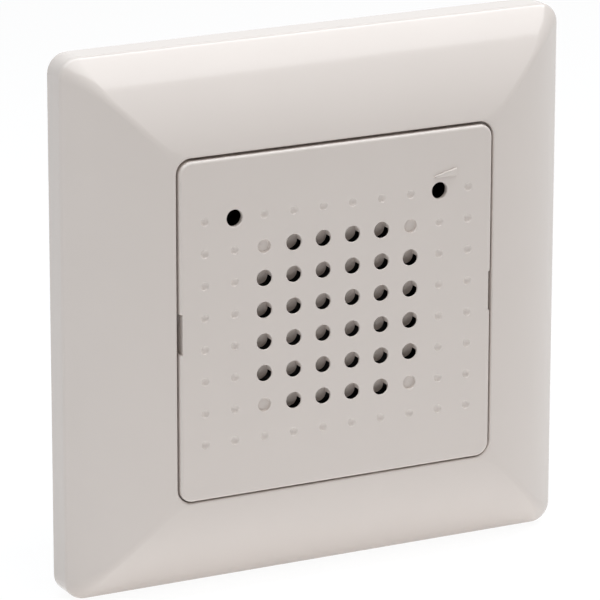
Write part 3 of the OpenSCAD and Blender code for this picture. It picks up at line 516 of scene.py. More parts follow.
def pressed_paper(name, color):
    """Cone paper: matted fibres, and shallow pressed rings with a painted highlight on their
    crests.
    """
    finish = Finish(name)
    across, _, up = finish.axes()
    radius = (across * across + up * up).root()
    rings = 0.5 + 0.5 * (radius * (2 * math.pi / (1.1 * MM))).wave()
    fibre = finish.noise(0.25 * MM, 5.0, (1, 1, 3))
    tone = finish.vary(fibre, color, 0.6, 1.7)
    # Painted highlight: lighter on the crests of the pressed rings
    tone = finish.mix(rings * 0.25, tone, shaded(color, 1.4))
    normal = finish.bump(fibre, 0.03 * MM, 0.8, finish.bump(rings, 0.05 * MM))
    return finish.close(tone, 0.72 + 0.15 * fibre, normal)


def soft_rubber(name, color):
    """Rubber roll with a bloom of dust in its hollows."""
    finish = Finish(name)
    bloom = finish.noise(1.4 * MM, 4.0)
    grain = finish.noise(0.1 * MM, 2.0)
    tone = finish.mix(bloom, color, shaded(color, 2.0))
    return finish.close(tone, 0.42 + 0.25 * bloom, finish.bump(grain, 0.006 * MM))


def tag_strip(name, color, metal, lead_x):
    """Phenolic strip with two tinned tags."""
    finish = Finish(name)
    across = finish.axes()[0]
    layers = finish.noise(0.2 * MM, 3.0, (1, 6, 1))
    tags = abs(abs(across) - lead_x) < 1.1 * MM
    tone = finish.vary(layers, color, 0.75, 1.25)
    tone = finish.mix(tags, tone, metal)
    return finish.close(tone, 0.5 - 0.2 * tags, finish.bump(layers, 0.01 * MM), metallic=tags)


def lead_sleeves(name, color):
    """Two leads: one coloured, one black."""
    finish = Finish(name)
    across = finish.axes()[0]
    smear = finish.noise(0.8 * MM, 3.0)
    tone = finish.mix(across < 0, finish.vary(smear, color, 0.8, 1.15),
                      (0.02, 0.02, 0.022))
    return finish.close(tone, 0.35 + 0.15 * smear, finish.bump(smear, 0.01 * MM))


def solder_mask(name, color, metal):
    """Board: raised tracks under green mask, tinned pads on a grid, woven edge."""
    finish = Finish(name)
    across, _, up = finish.axes()
    step = 2.54 * MM
    weave = finish.noise(0.4 * MM, 2.0)
    lanes = finish.cells(7 * MM)
    tracks, rails = (abs((axis * (1 / step)).fraction() - 0.5) < 0.13 for axis in (across, up))
    upright = lanes > 0.42
    lines = tracks * upright + rails * (1 - upright)
    pads = (tracks * rails) * (finish.noise(5 * MM) > 0.52)
    tone = finish.vary(weave, color, 0.85, 1.1)
    tone = finish.mix(lines * 0.6, tone, shaded(color, 1.9))
    tone = finish.mix(pads, tone, metal)
    normal = finish.bump(lines + pads, 0.03 * MM)
    return finish.close(tone, 0.34 + 0.1 * weave, normal, metallic=pads)


def leaded_part(name, color, metal, low, high):
    """Moulded body between two heights, with tinned legs outside them."""
    finish = Finish(name)
    up = finish.axes()[2]
    legs = (up < low).either(up > high)
    grain = finish.noise(0.15 * MM, 3.0)
    tone = finish.mix(legs, finish.vary(grain, color, 0.8, 1.3), metal)
    normal = finish.bump(grain, 0.01 * MM, 0.7, finish.soft_edges(0.1 * MM))
    return finish.close(tone, 0.55 - 0.3 * legs + 0.1 * grain, normal, metallic=legs)


def sleeved_can(name, color, metal, middle_x, rear_y):
    """Capacitor: printed sleeve with a pale stripe, bare aluminium end."""
    finish = Finish(name)
    across, along, _ = finish.axes()
    stripe = (across - middle_x) > 2.2 * MM
    end = along > rear_y - 0.3 * MM
    shrink = finish.noise(1.2 * MM, 2.0, (1, 4, 1))
    tone = finish.vary(shrink, color, 0.85, 1.15)
    tone = finish.mix(stripe, tone, (0.55, 0.57, 0.62))
    tone = finish.mix(end, tone, metal)
    return finish.close(tone, 0.3 + 0.12 * shrink, finish.bump(shrink, 0.02 * MM), metallic=end)


def banded_lacquer(name, color, metal, middle_x, half_body):
    """Resistor: beige lacquer, four plain bands, tinned leads."""
    finish = Finish(name)
    across = finish.axes()[0]
    along = across - middle_x
    leads = abs(along) > half_body - 0.02 * MM
    gloss = finish.noise(0.7 * MM, 2.0)
    tone = finish.vary(gloss, color, 0.92, 1.08)
    bands = ((-2.0, (0.24, 0.09, 0.03)), (-0.9, (0.02, 0.02, 0.02)),
             (0.2, (0.45, 0.03, 0.02)), (2.0, (0.5, 0.33, 0.08)))
    for at, band in bands:
        tone = finish.mix(abs(along - at * MM) < 0.3 * MM, tone, band)
    tone = finish.mix(leads, tone, metal)
    return finish.close(tone, 0.28 + 0.1 * gloss, finish.bump(gloss, 0.02 * MM), metallic=leads)


def stamped_brass(name, color):
    """Rolled brass strip with tarnish."""
    finish = Finish(name)
    marks = finish.noise(0.25 * MM, 4.0, (1, 1, 8))
    tarnish = finish.ramp(finish.noise(2 * MM, 4.0), (0.4, 0), (0.8, 1))
    tone = finish.mix(tarnish * 0.5, color, (color[0] * 0.6, color[1] * 0.45, color[2] * 0.3))
    normal = finish.bump(marks, 0.004 * MM, 0.8, finish.soft_edges(0.1 * MM))
    return finish.close(tone, 0.25 + 0.15 * marks + 0.15 * tarnish, normal, metallic=1.0)


def activate(piece):
    """Makes one object the only selected and active one."""
    bpy.ops.object.select_all(action="DESELECT")
    piece.select_set(True)
    bpy.context.view_layer.objects.active = piece


def named(name):
    """Names the piece that was just added, and puts its place into its mesh."""
    piece = bpy.context.object
    piece.name = name
    piece.data.name = name
    bpy.ops.object.transform_apply(location=True, rotation=True, scale=True)
    return piece


def add_square(name, half, height):
    """Flat square on the face's side, at a height above the wall."""
    bpy.ops.object.select_all(action="DESELECT")
    bpy.ops.mesh.primitive_plane_add(size=2 * half, location=(0, -height, 0),
                                     rotation=(math.pi / 2, 0, 0))
    return named(name)


def add_disc(name, radius, height, sides):
    """Flat disc on the face's side, at a height above the wall."""
    bpy.ops.object.select_all(action="DESELECT")
    bpy.ops.mesh.primitive_circle_add(vertices=sides, radius=radius, fill_type="NGON",
                                      location=(0, -height, 0), rotation=(math.pi / 2, 0, 0))
    return named(name)


def add_block(name, low, high):
    """Box between two corners, each as (across, up, height above the wall)."""
    bpy.ops.object.select_all(action="DESELECT")
    middle = [(a + b) / 2 for a, b in zip(low, high)]
    sides = [b - a for a, b in zip(low, high)]
    bpy.ops.mesh.primitive_cube_add(size=1, location=(middle[0], -middle[2], middle[1]),
                                    scale=(sides[0], sides[2], sides[1]))
    return named(name)


def edited_shape():
    """The mesh that is being edited."""
    shape = bmesh.from_edit_mesh(bpy.context.edit_object.data)
    shape.verts.ensure_lookup_table()
    return shape


def pick(test):
    """Selects the vertices of the edited piece that pass a test, and nothing else."""
    bpy.ops.mesh.select_all(action="DESELECT")
    shape = edited_shape()
    for vert in shape.verts:
        vert.select = bool(test(vert))
    shape.select_flush(True)
    bmesh.update_edit_mesh(bpy.context.edit_object.data)


def begin_edit(piece):
    """Opens a piece for editing with all of it selected."""
    activate(piece)
    bpy.ops.object.mode_set(mode="EDIT")
    bpy.ops.mesh.select_mode(type="VERT")
    bpy.ops.mesh.select_all(action="SELECT")


def leave_edit():
    """Leaves edit mode with the faces as they are."""
    bpy.ops.object.mode_set(mode="OBJECT")


def end_edit():
    """Merges doubles, turns all faces outwards and leaves edit mode."""
    bpy.ops.mesh.select_all(action="SELECT")
    bpy.ops.mesh.remove_doubles(threshold=MERGE)
    bpy.ops.mesh.normals_make_consistent(inside=False)
    leave_edit()


def next_ring(height, last_height, share):
    """Extrudes the selected ring of edges to another height and scales it about the axis."""
    bpy.ops.mesh.extrude_edges_move()
    bpy.ops.transform.translate(value=(0, last_height - height, 0))
    bpy.ops.transform.resize(value=(share, 1, share), center_override=(0, -height, 0))


def set_corners(half, height, share):
    """Scales each round corner of the selected ring about its own sharp corner."""
    ring = {vert.index for vert in edited_shape().verts if vert.select}
    for side_x in (-1, 1):
        for side_z in (-1, 1):
            pick(lambda v: v.index in ring and v.co.x * side_x > 0 and v.co.z * side_z > 0)
            bpy.ops.transform.resize(value=(share, 1, share),
                                     center_override=(side_x * half, -height, side_z * half))
    pick(lambda v: v.index in ring)


def square_loft(name, stations, keep_face=False, cap=False):
    """Round-cornered square rings in a row, each (half width, corner radius, height)."""
    half, radius, height = stations[0]
    piece = add_square(name, half, height)
    begin_edit(piece)
    bpy.ops.mesh.bevel(offset=radius, segments=CORNER_STEPS, affect="VERTICES")
    bpy.ops.mesh.select_all(action="SELECT")
    if not keep_face:
        bpy.ops.mesh.delete(type="ONLY_FACE")
        bpy.ops.mesh.select_all(action="SELECT")
    for next_half, next_radius, next_height in stations[1:]:
        next_ring(next_height, height, next_half / half)
        set_corners(next_half, next_height, next_radius * half / (radius * next_half))
        half, radius, height = next_half, next_radius, next_height
    if cap:
        bpy.ops.mesh.edge_face_add()
    end_edit()
    return piece


def turned(name, profile, sides, hollow=False):
    """Solid of rings about the axis, each (radius, height). A hollow one closes on itself."""
    radius, height = profile[0]
    piece = add_disc(name, radius, height, sides)
    begin_edit(piece)
    if hollow:
        bpy.ops.mesh.delete(type="ONLY_FACE")
        bpy.ops.mesh.select_all(action="SELECT")
        profile = profile + profile[:1]
    for next_radius, next_height in profile[1:]:
        next_ring(next_height, height, next_radius / radius)
        radius, height = next_radius, next_height
    if not hollow:
        bpy.ops.mesh.edge_face_add()
    end_edit()
    return piece


def repeat(piece, places):
    """Moves a shape from the axis to the first place, and copies it to the others."""
    begin_edit(piece)
    last = (0.0, 0.0)
    for count, (across, up) in enumerate(places):
        if count:
            bpy.ops.mesh.duplicate()
        bpy.ops.transform.translate(value=(across - last[0], 0, up - last[1]))
        last = (across, up)
    leave_edit()
    return piece


def twin(piece, across, up):
    """Adds one copy of a shape at a distance from it."""
    begin_edit(piece)
    bpy.ops.mesh.duplicate()
    bpy.ops.transform.translate(value=(across, 0, up))
    leave_edit()
    return piece


def on_all_sides(piece):
    """Copies a shape from one side of the square to the other three."""
    begin_edit(piece)
    for _ in range(3):
        bpy.ops.mesh.duplicate()
        bpy.ops.transform.rotate(value=math.pi / 2, orient_axis="Y", center_override=(0, 0, 0))
    leave_edit()
    return piece


def joined(pieces):
    """One object of several separate shapes."""
    activate(pieces[0])
    for piece in pieces:
        piece.select_set(True)
    bpy.ops.object.join()
    return pieces[0]


def combine(piece, tool, operation):
    """Fuses a tool with a piece or cuts it out, and removes the tool."""
    activate(piece)
    bpy.ops.object.modifier_add(type="BOOLEAN")
    step = piece.modifiers[-1]
    step.operation = operation
    step.solver = "EXACT"
    step.object = tool
    bpy.ops.object.modifier_apply(modifier=step.name)
    bpy.data.objects.remove(tool)


def smooth(piece):
    """Smooth shading that stays flat on the large faces."""
    activate(piece)
    bpy.ops.object.shade_smooth_by_angle(angle=SMOOTH_ANGLE)
    bpy.ops.object.modifier_add(type="WEIGHTED_NORMAL")
    step = piece.modifiers[-1]
    step.keep_sharp = True
    step.weight = 100
    bpy.ops.object.modifier_apply(modifier=step.name)


def lower(piece, distance):
    """Lets a finished shape hang lower."""
    begin_edit(piece)
    bpy.ops.transform.translate(value=(0, 0, -distance))
    leave_edit()


def dress(piece, material, body, slot, *nodes):
    """Gives a finished piece its material, its body and the nodes that it stands for."""
    if not piece.data.polygons:
        raise RuntimeError(f"{piece.name} has no faces")
    piece.data.materials.clear()
    piece.data.materials.append(material)
    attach(piece, body)
    if nodes:
        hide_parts(*nodes)


def paint(material, *nodes):
    """Puts a material on CAD nodes."""
    for name in nodes:
        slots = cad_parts[name].data.materials
        slots.clear()
        slots.append(material)


def arc(centre, radius, start, end, steps):
    """Points on an arc, both ends included."""
    turns = [start + (end - start) * n / steps for n in range(steps + 1)]
    return [(centre[0] + radius * math.cos(t), centre[1] + radius * math.sin(t)) for t in turns]


def slope_arc(cover, opening):
    """Centre of the bulging slope's arc, in half width and height."""
    half = cover.width / 2
    run, rise = half - opening, cover.lip_height - cover.edge_height
    chord = math.hypot(run, rise)
    stand = math.sqrt(cover.bulge ** 2 - (chord / 2) ** 2)
    return ((half + opening) / 2 - stand * rise / chord,
            (cover.edge_height + cover.lip_height) / 2 - stand * run / chord)


def inner_touch(centre, radius, small, x):
    """Centre of a small arc that touches a large one from inside, and the angle of the touch."""
    z = centre[1] + math.sqrt((radius - small) ** 2 - (x - centre[0]) ** 2)
    return (x, z), math.atan2(z - centre[1], x - centre[0])


def arc_height(centre, radius, x):
    """Height of an arc at a half width."""
    return centre[1] + math.sqrt(radius ** 2 - (x - centre[0]) ** 2)


def mitre_radius(cover, plate, x):
    """Corner radius of the frame at a half width: round at edge and lip, tight in between."""
    half, opening = cover.width / 2, plate.width / 2 + plate.gap
    to_edge = max(0.0, 1 - (half - x) / cover.corner_reach)
    to_lip = max(0.0, 1 - (x - opening) / cover.lip_reach)
    return (cover.mitre + (cover.corner - cover.mitre) * to_edge ** 2
            + (plate.corner + plate.gap - cover.mitre) * to_lip ** 2)


def cover_stations(cover, plate):
    """Rings of the cover frame: from the wall over the slope, round the ledge, back inside."""
    half = cover.width / 2
    opening = plate.width / 2 + plate.gap
    centre = slope_arc(cover, opening)
    shoulder, shoulder_turn = inner_touch(centre, cover.bulge, cover.shoulder,
                                          half - cover.shoulder)
    lip, lip_turn = inner_touch(centre, cover.bulge, cover.lip_round, opening + cover.lip_round)
    outside = [(half - cover.foot, 0), (half, cover.foot)]
    outside += arc(shoulder, cover.shoulder, 0, shoulder_turn, FILLET_STEPS)
    outside += arc(centre, cover.bulge, shoulder_turn, lip_turn, SLOPE_STEPS)[1:]
    outside += arc(lip, cover.lip_round, lip_turn, math.pi, FILLET_STEPS)[1:]
    inner_corner = plate.corner + plate.gap
    rings = [(x, mitre_radius(cover, plate, x), z) for x, z in outside]
    ledge = plate.face - plate.edge - SLIVER
    ledge_half = opening - cover.ledge_reach
    block = opening + cover.collar
    cavity = half - cover.wall
    inner_radius = cover.bulge - cover.wall
    block_corner = inner_corner + cover.collar
    cavity_corner = cover.corner - cover.wall / 2
    ledge_back = ledge - cover.ledge
    rings += [(opening, inner_corner, ledge), (ledge_half, plate.corner, ledge),
              (ledge_half, plate.corner, ledge_back), (block, block_corner, ledge_back)]
    for n in range(FILLET_STEPS + 1):
        x = block + (cavity - block) * n / FILLET_STEPS
        corner = block_corner + (cavity_corner - block_corner) * n / FILLET_STEPS
        rings.append((x, corner, arc_height(centre, inner_radius, x)))
    rings += [(cavity, cavity_corner, 0), rings[0]]
    return rings


def cover_ribs(cover, plate):
    """Eight ribs behind the slope, cut to a slant that ends inside the frame's wall."""
    low, high, tip = cover.rib_low, cover.rib_high, 0.1 * MM
    near = plate.width / 2 + plate.gap + cover.collar - OVERLAP
    far = cover.width / 2 - cover.wall / 2
    rib = add_block("rib", (near, cover.rib_offset - cover.rib / 2, low),
                    (far, cover.rib_offset + cover.rib / 2, high))
    begin_edit(rib)
    pick(lambda v: v.co.x > (near + far) / 2 and -v.co.y > (low + high) / 2)
    bpy.ops.transform.translate(value=(0, high - low - tip, 0))
    leave_edit()
    return on_all_sides(twin(rib, 0, -2 * cover.rib_offset))


def side_pair(name, low, high):
    """A box on the right and its twin on the left."""
    return twin(add_block(name, low, high), -(low[0] + high[0]), 0)


class CHIME_OT_cover_frame(bpy.types.Operator):
    """Model the square cover frame with its bulging slope, ledge and ribs"""

    bl_idname = "chime.cover_frame"
    bl_label = "Cover Frame"

    def execute(self, context):
        cover, plate = context.scene.chime_cover, context.scene.chime_plate
        shell = square_loft("cover_shell", cover_stations(cover, plate))
        combine(shell, cover_ribs(cover, plate), "UNION")
        opening = plate.width / 2 + plate.gap
        ledge = plate.face - plate.edge
        wall, rise = 0.02 * MM, 0.3 * MM
        slot = side_pair("pry_slot", (plate.width / 2 - plate.notch_depth, -plate.notch_height / 2,
                                      ledge - cover.ledge - RUN_OUT),
                         (opening - wall, plate.notch_height / 2, ledge + rise))
        combine(shell, slot, "DIFFERENCE")
        smooth(shell)
        tones = context.scene.chime_finish
        gloss = gloss_plastic("frame_gloss", tones.cover, tones.frame_rough, tones.frame_shine)
        dress(shell, gloss, "cover_frame", "frame_plastic", "cover_frame")
        return {"FINISHED"}


def grid_places(grille):
    """Places of sound holes, blind recesses, dimples and access holes, as (across, up)."""
    kinds = {"sound": [], "recess": [], "dimple": [], "access": []}
    for i in range(COLUMNS):
        for j in range(ROWS):
            place = ((i - (COLUMNS - 1) / 2) * grille.pitch,
                     ((ROWS - 1) / 2 - j) * grille.pitch - grille.drop)
            inside = (SIDE_COLUMNS <= i < COLUMNS - SIDE_COLUMNS
                      and EDGE_ROWS <= j < ROWS - EDGE_ROWS)
            at_end = i in (SIDE_COLUMNS, COLUMNS - 1 - SIDE_COLUMNS)
            at_edge = j in (EDGE_ROWS, ROWS - 1 - EDGE_ROWS)
            if inside:
                kinds["recess" if at_end and at_edge else "sound"].append(place)
            elif j == ACCESS_ROW and i in (ACCESS_COLUMN, COLUMNS - 1 - ACCESS_COLUMN):
                kinds["access"].append(place)
            else:
                kinds["dimple"].append(place)
    return kinds


def hole_rim(radius, rim, face):
    """Upper part of a round cutter: from above the face down over a rounded rim."""
    above, lift = 0.5 * MM, 0.003 * MM
    middle = (radius + rim, face + lift - rim)
    return [(radius + rim, face + above)] + arc(middle, rim, math.pi / 2, math.pi, RIM_STEPS)


def recess_profile(grille, face):
    """Cutter of a blind recess with a rounded rim and a hollow round its floor."""
    rim, hollow = grille.recess_rim, grille.recess_hollow
    radius, bottom = grille.recess / 2 - rim, face - grille.recess_depth
    floor = arc((radius - hollow, bottom + hollow), hollow, 0, -math.pi / 2, RIM_STEPS)
    return hole_rim(radius, rim, face) + floor[1:]


def access_profile(plate, grille):
    """Cutter of an access hole, wider behind the face."""
    radius, back = grille.access / 2, plate.face - grille.access_lip
    wide = radius + grille.access_step
    return hole_rim(radius, grille.rim, plate.face) + [(radius, back), (wide, back),
                                                       (wide, plate.face - plate.skin - RUN_OUT)]


def dimple_profile(grille, face):
    """Cutter of a dimple: a shallow bowl with a soft rim."""
    reach, depth = grille.dimple / 2, grille.dimple_depth
    above, flare, lift = 0.4 * MM, 1.02, 0.004 * MM
    bowl = [(reach * out, face + lift - depth * down) for out, down in DIMPLE_FALL]
    return [(reach * flare, face + above)] + bowl


def plate_stations(plate, skirt):
    """Rings of the plate from its face round the edge, down the skirt and up inside it."""
    half = plate.width / 2
    ledge = plate.face - plate.edge
    soft = plate.edge_round
    rings = []
    for out, down in arc((0, 0), soft, math.pi / 2, 0, FILLET_STEPS):
        rings.append((half - soft + out, plate.corner - soft + out, plate.face - soft + down))
    inner = skirt - plate.skirt_wall
    return rings + [(half, plate.corner, ledge), (skirt, plate.corner, ledge),
                    (skirt, plate.corner, plate.foot),
                    (inner, plate.corner - plate.skirt_wall / 2, plate.foot),
                    (inner, plate.corner - plate.skirt_wall / 2, plate.face - plate.skin)]


def hood_shapes(plate, grille, places):
    """Round hoods behind the sound holes."""
    radius = grille.hole / 2 + grille.hood_wall
    back = plate.face - grille.pocket - grille.floor
    soft, front = 0.15 * MM, plate.face - plate.skin + OVERLAP / 2
    profile = [(radius, front), (radius, back + soft), (radius - soft, back)]
    return repeat(turned("hood", profile, HOLE_SIDES), places)


def hood_mouths(plate, grille, places):
    """Cutters that open each hood on its lower side, behind a thin lip of the face."""
    reach = grille.hole / 2 + grille.hood_wall + OVERLAP
    mouth = add_block("mouth", (-reach, -reach, plate.face - grille.pocket + SLIVER),
                      (reach, grille.mouth_top, plate.face - grille.lip))
    return repeat(mouth, places)


def face_cutters(plate, grille, places):
    """All round cutters of the face in one shape."""
    face = plate.face
    sound = hole_rim(grille.hole / 2, grille.rim, face) + [(grille.hole / 2, face - grille.pocket)]
    cutters = (("sound", sound, HOLE_SIDES), ("recess", recess_profile(grille, face), HOLE_SIDES),
               ("access", access_profile(plate, grille), HOLE_SIDES),
               ("dimple", dimple_profile(grille, face), DIMPLE_SIDES))
    return joined([repeat(turned(kind, profile, sides), places[kind])
                   for kind, profile, sides in cutters])


def skirt_slits(plate, skirt):
    """Cutters of the slits on both sides of each snap tongue."""
    top = plate.face - plate.edge - plate.slit_stop
    start = plate.tongue / 2
    slit = add_block("slit", (skirt - plate.skirt_wall - RUN_OUT, start, plate.foot - RUN_OUT),
                     (skirt + RUN_OUT, start + plate.slit, top))
    return on_all_sides(twin(slit, 0, -2 * start - plate.slit))


def snap_nibs(plate, skirt):
    """Nibs at the foot of the tongues, with a slanted lead-in."""
    inner = skirt - plate.skirt_wall
    half = plate.tongue / 2 - SLIVER
    low = (inner - plate.nib_reach, -half, plate.foot + SLIVER)
    high = (inner + plate.skirt_wall / 2, half, plate.foot + plate.nib_height)
    nib = add_block("nib", low, high)
    begin_edit(nib)
    pick(lambda v: v.co.x < inner and -v.co.y < plate.foot + plate.nib_height / 2)
    lead_in = 0.7 * plate.nib_reach
    bpy.ops.transform.translate(value=(lead_in, 0, 0))
    leave_edit()
    return on_all_sides(nib)


class CHIME_OT_center_plate(bpy.types.Operator):
    """Model the centre plate with its sound grille, dimples, notches and skirt"""

    bl_idname = "chime.center_plate"
    bl_label = "Centre Plate"

    def execute(self, context):
        scene = context.scene
        cover, plate, grille = scene.chime_cover, scene.chime_plate, scene.chime_grille
        places = grid_places(grille)
        skirt = plate.width / 2 + plate.gap - cover.ledge_reach - plate.skirt_gap
        shell = square_loft("plate_shell", plate_stations(plate, skirt), keep_face=True, cap=True)
        combine(shell, hood_shapes(plate, grille, places["sound"]), "UNION")
        combine(shell, snap_nibs(plate, skirt), "UNION")
        combine(shell, face_cutters(plate, grille, places), "DIFFERENCE")
        combine(shell, hood_mouths(plate, grille, places["sound"]), "DIFFERENCE")
        combine(shell, skirt_slits(plate, skirt), "DIFFERENCE")
        notch = side_pair("notch", (plate.width / 2 - plate.notch_depth, -plate.notch_height / 2,
                                    plate.face - plate.edge - RUN_OUT),
                          (plate.width / 2 + RUN_OUT, plate.notch_height / 2,
                           plate.face + RUN_OUT))
        combine(shell, notch, "DIFFERENCE")
        lower(shell, plate.sink)
        smooth(shell)
        tones = scene.chime_finish
        gloss = gloss_plastic("plate_gloss", tones.cover, tones.plate_rough, tones.plate_shine)
        dress(shell, gloss, "center_plate", "plate_plastic", "center_plate")
        return {"FINISHED"}


class CHIME_OT_volume_sign(bpy.types.Operator):
    """Model the raised wedge that marks the volume hole"""

    bl_idname = "chime.volume_sign"
    bl_label = "Volume Wedge"

    def execute(self, context):
        scene = context.scene
        plate, sign = scene.chime_plate, scene.chime_sign
        across, up = max(grid_places(scene.chime_grille)["access"])
        across += sign.shift
        root = 0.05 * MM
        low = (across - sign.length / 2, up + sign.above, plate.face - root)
        high = (across + sign.length / 2, low[1] + sign.height, plate.face + sign.relief)
        wedge = add_block("volume_wedge", low, high)
        begin_edit(wedge)
        pick(lambda v: v.co.x < across and v.co.z > low[1] + sign.height / 2)
        bpy.ops.transform.translate(value=(0, 0, sign.point - sign.height))
        pick(lambda v: -v.co.y > plate.face)
        bpy.ops.mesh.bevel(offset=sign.edge, segments=SIGN_STEPS, affect="EDGES")
        end_edit()
        lower(wedge, plate.sink)
        smooth(wedge)
        dress(wedge, bpy.data.materials["plate_gloss"], "center_plate", "plate_plastic")
        return {"FINISHED"}


def roll_profile(roll, back, front, outer):
    """Section of the half roll: a lip on the cone, the roll, and a lip on the basket's rim."""
    radius = front - back - roll.thick
    middle = roll.start + radius
    reach = radius + roll.thick
    foot = math.asin(roll.thick / reach)
    over = arc((middle, back), reach, math.pi - foot, foot, SLOPE_STEPS)
    under = arc((middle, back), radius, 0, math.pi, SLOPE_STEPS)
    return ([(roll.inner, back), (roll.inner, back + roll.thick)] + over
            + [(outer, back + roll.thick), (outer, back)] + under)


def sector(ring, name, middle, half_turn):
    """Copy of the part of a ring round one angle about the axis."""
    activate(ring)
    bpy.ops.object.duplicate()
    piece = bpy.context.object
    piece.name = piece.data.name = name
    begin_edit(piece)
    reach = half_turn * SECTOR_SLACK
    pick(lambda v: abs(math.remainder(math.atan2(v.co.z, v.co.x) - middle, 2 * math.pi)) > reach)
    bpy.ops.mesh.delete(type="VERT")
    leave_edit()
    return piece


class CHIME_OT_cone_roll(bpy.types.Operator):
    """Model the soft roll round the cone in sectors, with its inner lip on the cone"""

    bl_idname = "chime.cone_roll"
    bl_label = "Cone Roll"

    def execute(self, context):
        roll = context.scene.chime_roll
        low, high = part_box("cone_surround")
        back, front = -high.y, -low.y
        section = roll_profile(roll, back, front, high.x)
        ring = turned("cone_roll", section, ROLL_SIDES, hollow=True)
        smooth(ring)
        ring.data.materials.append(soft_rubber("roll_rubber", context.scene.chime_finish.rubber))
        half_turn = math.pi / ROLL_SECTORS
        for count in range(ROLL_SECTORS):
            middle = half_turn * (2 * count + 1)
            piece = sector(ring, f"cone_roll_{count + 1}", middle, half_turn)
            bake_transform(piece)
            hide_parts("cone_surround")
        bpy.data.objects.remove(ring)
        return {"FINISHED"}


class CHIME_OT_body_finishes(bpy.types.Operator):
    """Finish the carrier, the housing, the steel plate and the screws"""

    bl_idname = "chime.body_finishes"
    bl_label = "Body Finishes"

    def execute(self, context):
        tones = context.scene.chime_finish
        paint(moulded_plastic("carrier_black", tones.carrier, 0.42), "speaker_carrier")
        paint(moulded_plastic("housing_grey", tones.housing, 0.46, 0.35), "rear_housing")
        paint(plated_steel("zinc_sheet", tones.zinc, 0.15, (1, 1, 9)), "support_plate")
        paint(plated_steel("screw_zinc", shaded(tones.zinc, 0.92), 0.12),
              "carrier_screws", "board_screws", "housing_screws",
              "terminal_screw_1", "terminal_screw_2", "terminal_screw_3")
        paint(moulded_plastic("spindle_grey", tones.spindle, 0.4), "volume_spindle", "melody_pin")
        return {"FINISHED"}


class CHIME_OT_speaker_finishes(bpy.types.Operator):
    """Finish the speaker's basket, magnet, coil, cone, foam ring and leads"""

    bl_idname = "chime.speaker_finishes"
    bl_label = "Speaker Finishes"

    def execute(self, context):
        tones = context.scene.chime_finish
        paint(plated_steel("basket_plating", shaded(tones.zinc, 0.88)), "speaker_basket")
        paint(plated_steel("pole_plating", shaded(tones.zinc, 0.84)),
              "speaker_top_plate", "speaker_yoke")
        paint(sintered_ferrite("magnet_ferrite", tones.ferrite), "speaker_magnet")
        paint(wound_copper("coil_copper", tones.copper), "voice_coil")
        paint(pressed_paper("cone_fibre", tones.paper), "speaker_cone", "dust_cap")
        paint(foam_rubber("ring_foam", tones.foam), "speaker_gasket")
        tag_x = 2.2 * MM
        paint(tag_strip("tag_phenolic", tones.phenolic, tones.zinc, tag_x), "speaker_tags")
        paint(lead_sleeves("lead_sleeves", tones.lead), "speaker_leads")
        return {"FINISHED"}


class CHIME_OT_board_finishes(bpy.types.Operator):
    """Finish the board, its parts and the terminals"""

    bl_idname = "chime.board_finishes"
    bl_label = "Board Finishes"

    def execute(self, context):
        tones = context.scene.chime_finish
        tin = shaded(tones.zinc, 0.95)
        paint(solder_mask("board_mask", tones.mask, tin), "circuit_board")
        paint(moulded_plastic("trimmer_blue", tones.trimmer, 0.4), "volume_trimmer")
        paint(moulded_plastic("switch_black", tones.switch, 0.4), "melody_switch", "melody_plunger")
        paint(moulded_plastic("terminal_green", tones.terminal, 0.42), "terminal_block")
        paint(stamped_brass("contact_brass", tones.brass), "terminal_contacts")
        paint(plated_steel("clamp_zinc", shaded(tones.zinc, 0.9)),
              "wire_clamp_1", "wire_clamp_2", "wire_clamp_3")
        for name, leg in (("sound_chip", 0.9 * MM), ("bridge_rectifier", 1.0 * MM)):
            low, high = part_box(name)
            body = leaded_part(name + "_epoxy", tones.epoxy, tin, low.z + leg, high.z - leg)
            paint(body, name)
        low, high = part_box("capacitor")
        can = sleeved_can("can_sleeve", tones.can, tin, (low.x + high.x) / 2, high.y)
        paint(can, "capacitor")
        low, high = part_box("resistors")
        half_body = 3 * MM
        coat = banded_lacquer("resistor_lacquer", tones.lacquer, tin, (low.x + high.x) / 2,
                              half_body)
        paint(coat, "resistors")
        return {"FINISHED"}


def white_to_camera(finish):
    """1 for rays from the camera and for mirrored or refracted ones, else 0."""
    path = finish.add("ShaderNodeLightPath").socket.node.outputs
    camera, glossy, through = (Value(finish, path[f"Is {kind} Ray"])
                               for kind in ("Camera", "Glossy", "Transmission"))
    return camera.either(glossy).either(through)


def floor_material(shadow, shine):
    """White floor that glows up at the object like a lit table, as painted light, and shows a part
    of the object's shadow.
    """
    finish = Finish("studio_floor")
    paper = finish.noise(40 * MM, 2.0)
    tone = finish.mix(paper, (0.86, 0.86, 0.86), (0.9, 0.9, 0.9))
    matt = finish.add("ShaderNodeBsdfDiffuse", None, {"Color": tone})
    # The glow of strength shine is painted light standing in for light bounced up from a lit table;
    # the white of strength 1 is the plain backdrop that the camera sees
    lit, white = (finish.white("ShaderNodeEmission", strength) for strength in (shine, 1.0))
    table = finish.add("ShaderNodeAddShader", None, {0: matt, 1: lit})
    share = white_to_camera(finish) * (1 - shadow)
    finish.add_output(finish.add("ShaderNodeMixShader", None, {0: share, 1: table, 2: white}))
    return finish.material


def light_world(world, ambient):
    """Soft light from all round, with a white backdrop for the camera."""
    finish = WorldFinish(world)
    soft, white = (finish.white("ShaderNodeBackground", strength) for strength in (ambient, 1.0))
    share = white_to_camera(finish)
    finish.add_output(finish.add("ShaderNodeMixShader", None, {0: share, 1: soft, 2: white}))


def add_softbox(name, place, size, power, color):
    """Wide lamp that points at the middle of the chime."""
    lamp = bpy.data.lights.new(name, "AREA")
    lamp.shape = "RECTANGLE"
    lamp.size, lamp.size_y = size
    lamp.energy = power
    lamp.color = color
    box = bpy.data.objects.new(name, lamp)
    bpy.context.scene.collection.objects.link(box)
    box.location = place
    box.rotation_euler = (-Vector(place)).to_track_quat("-Z", "Y").to_euler()
    box.visible_camera = False


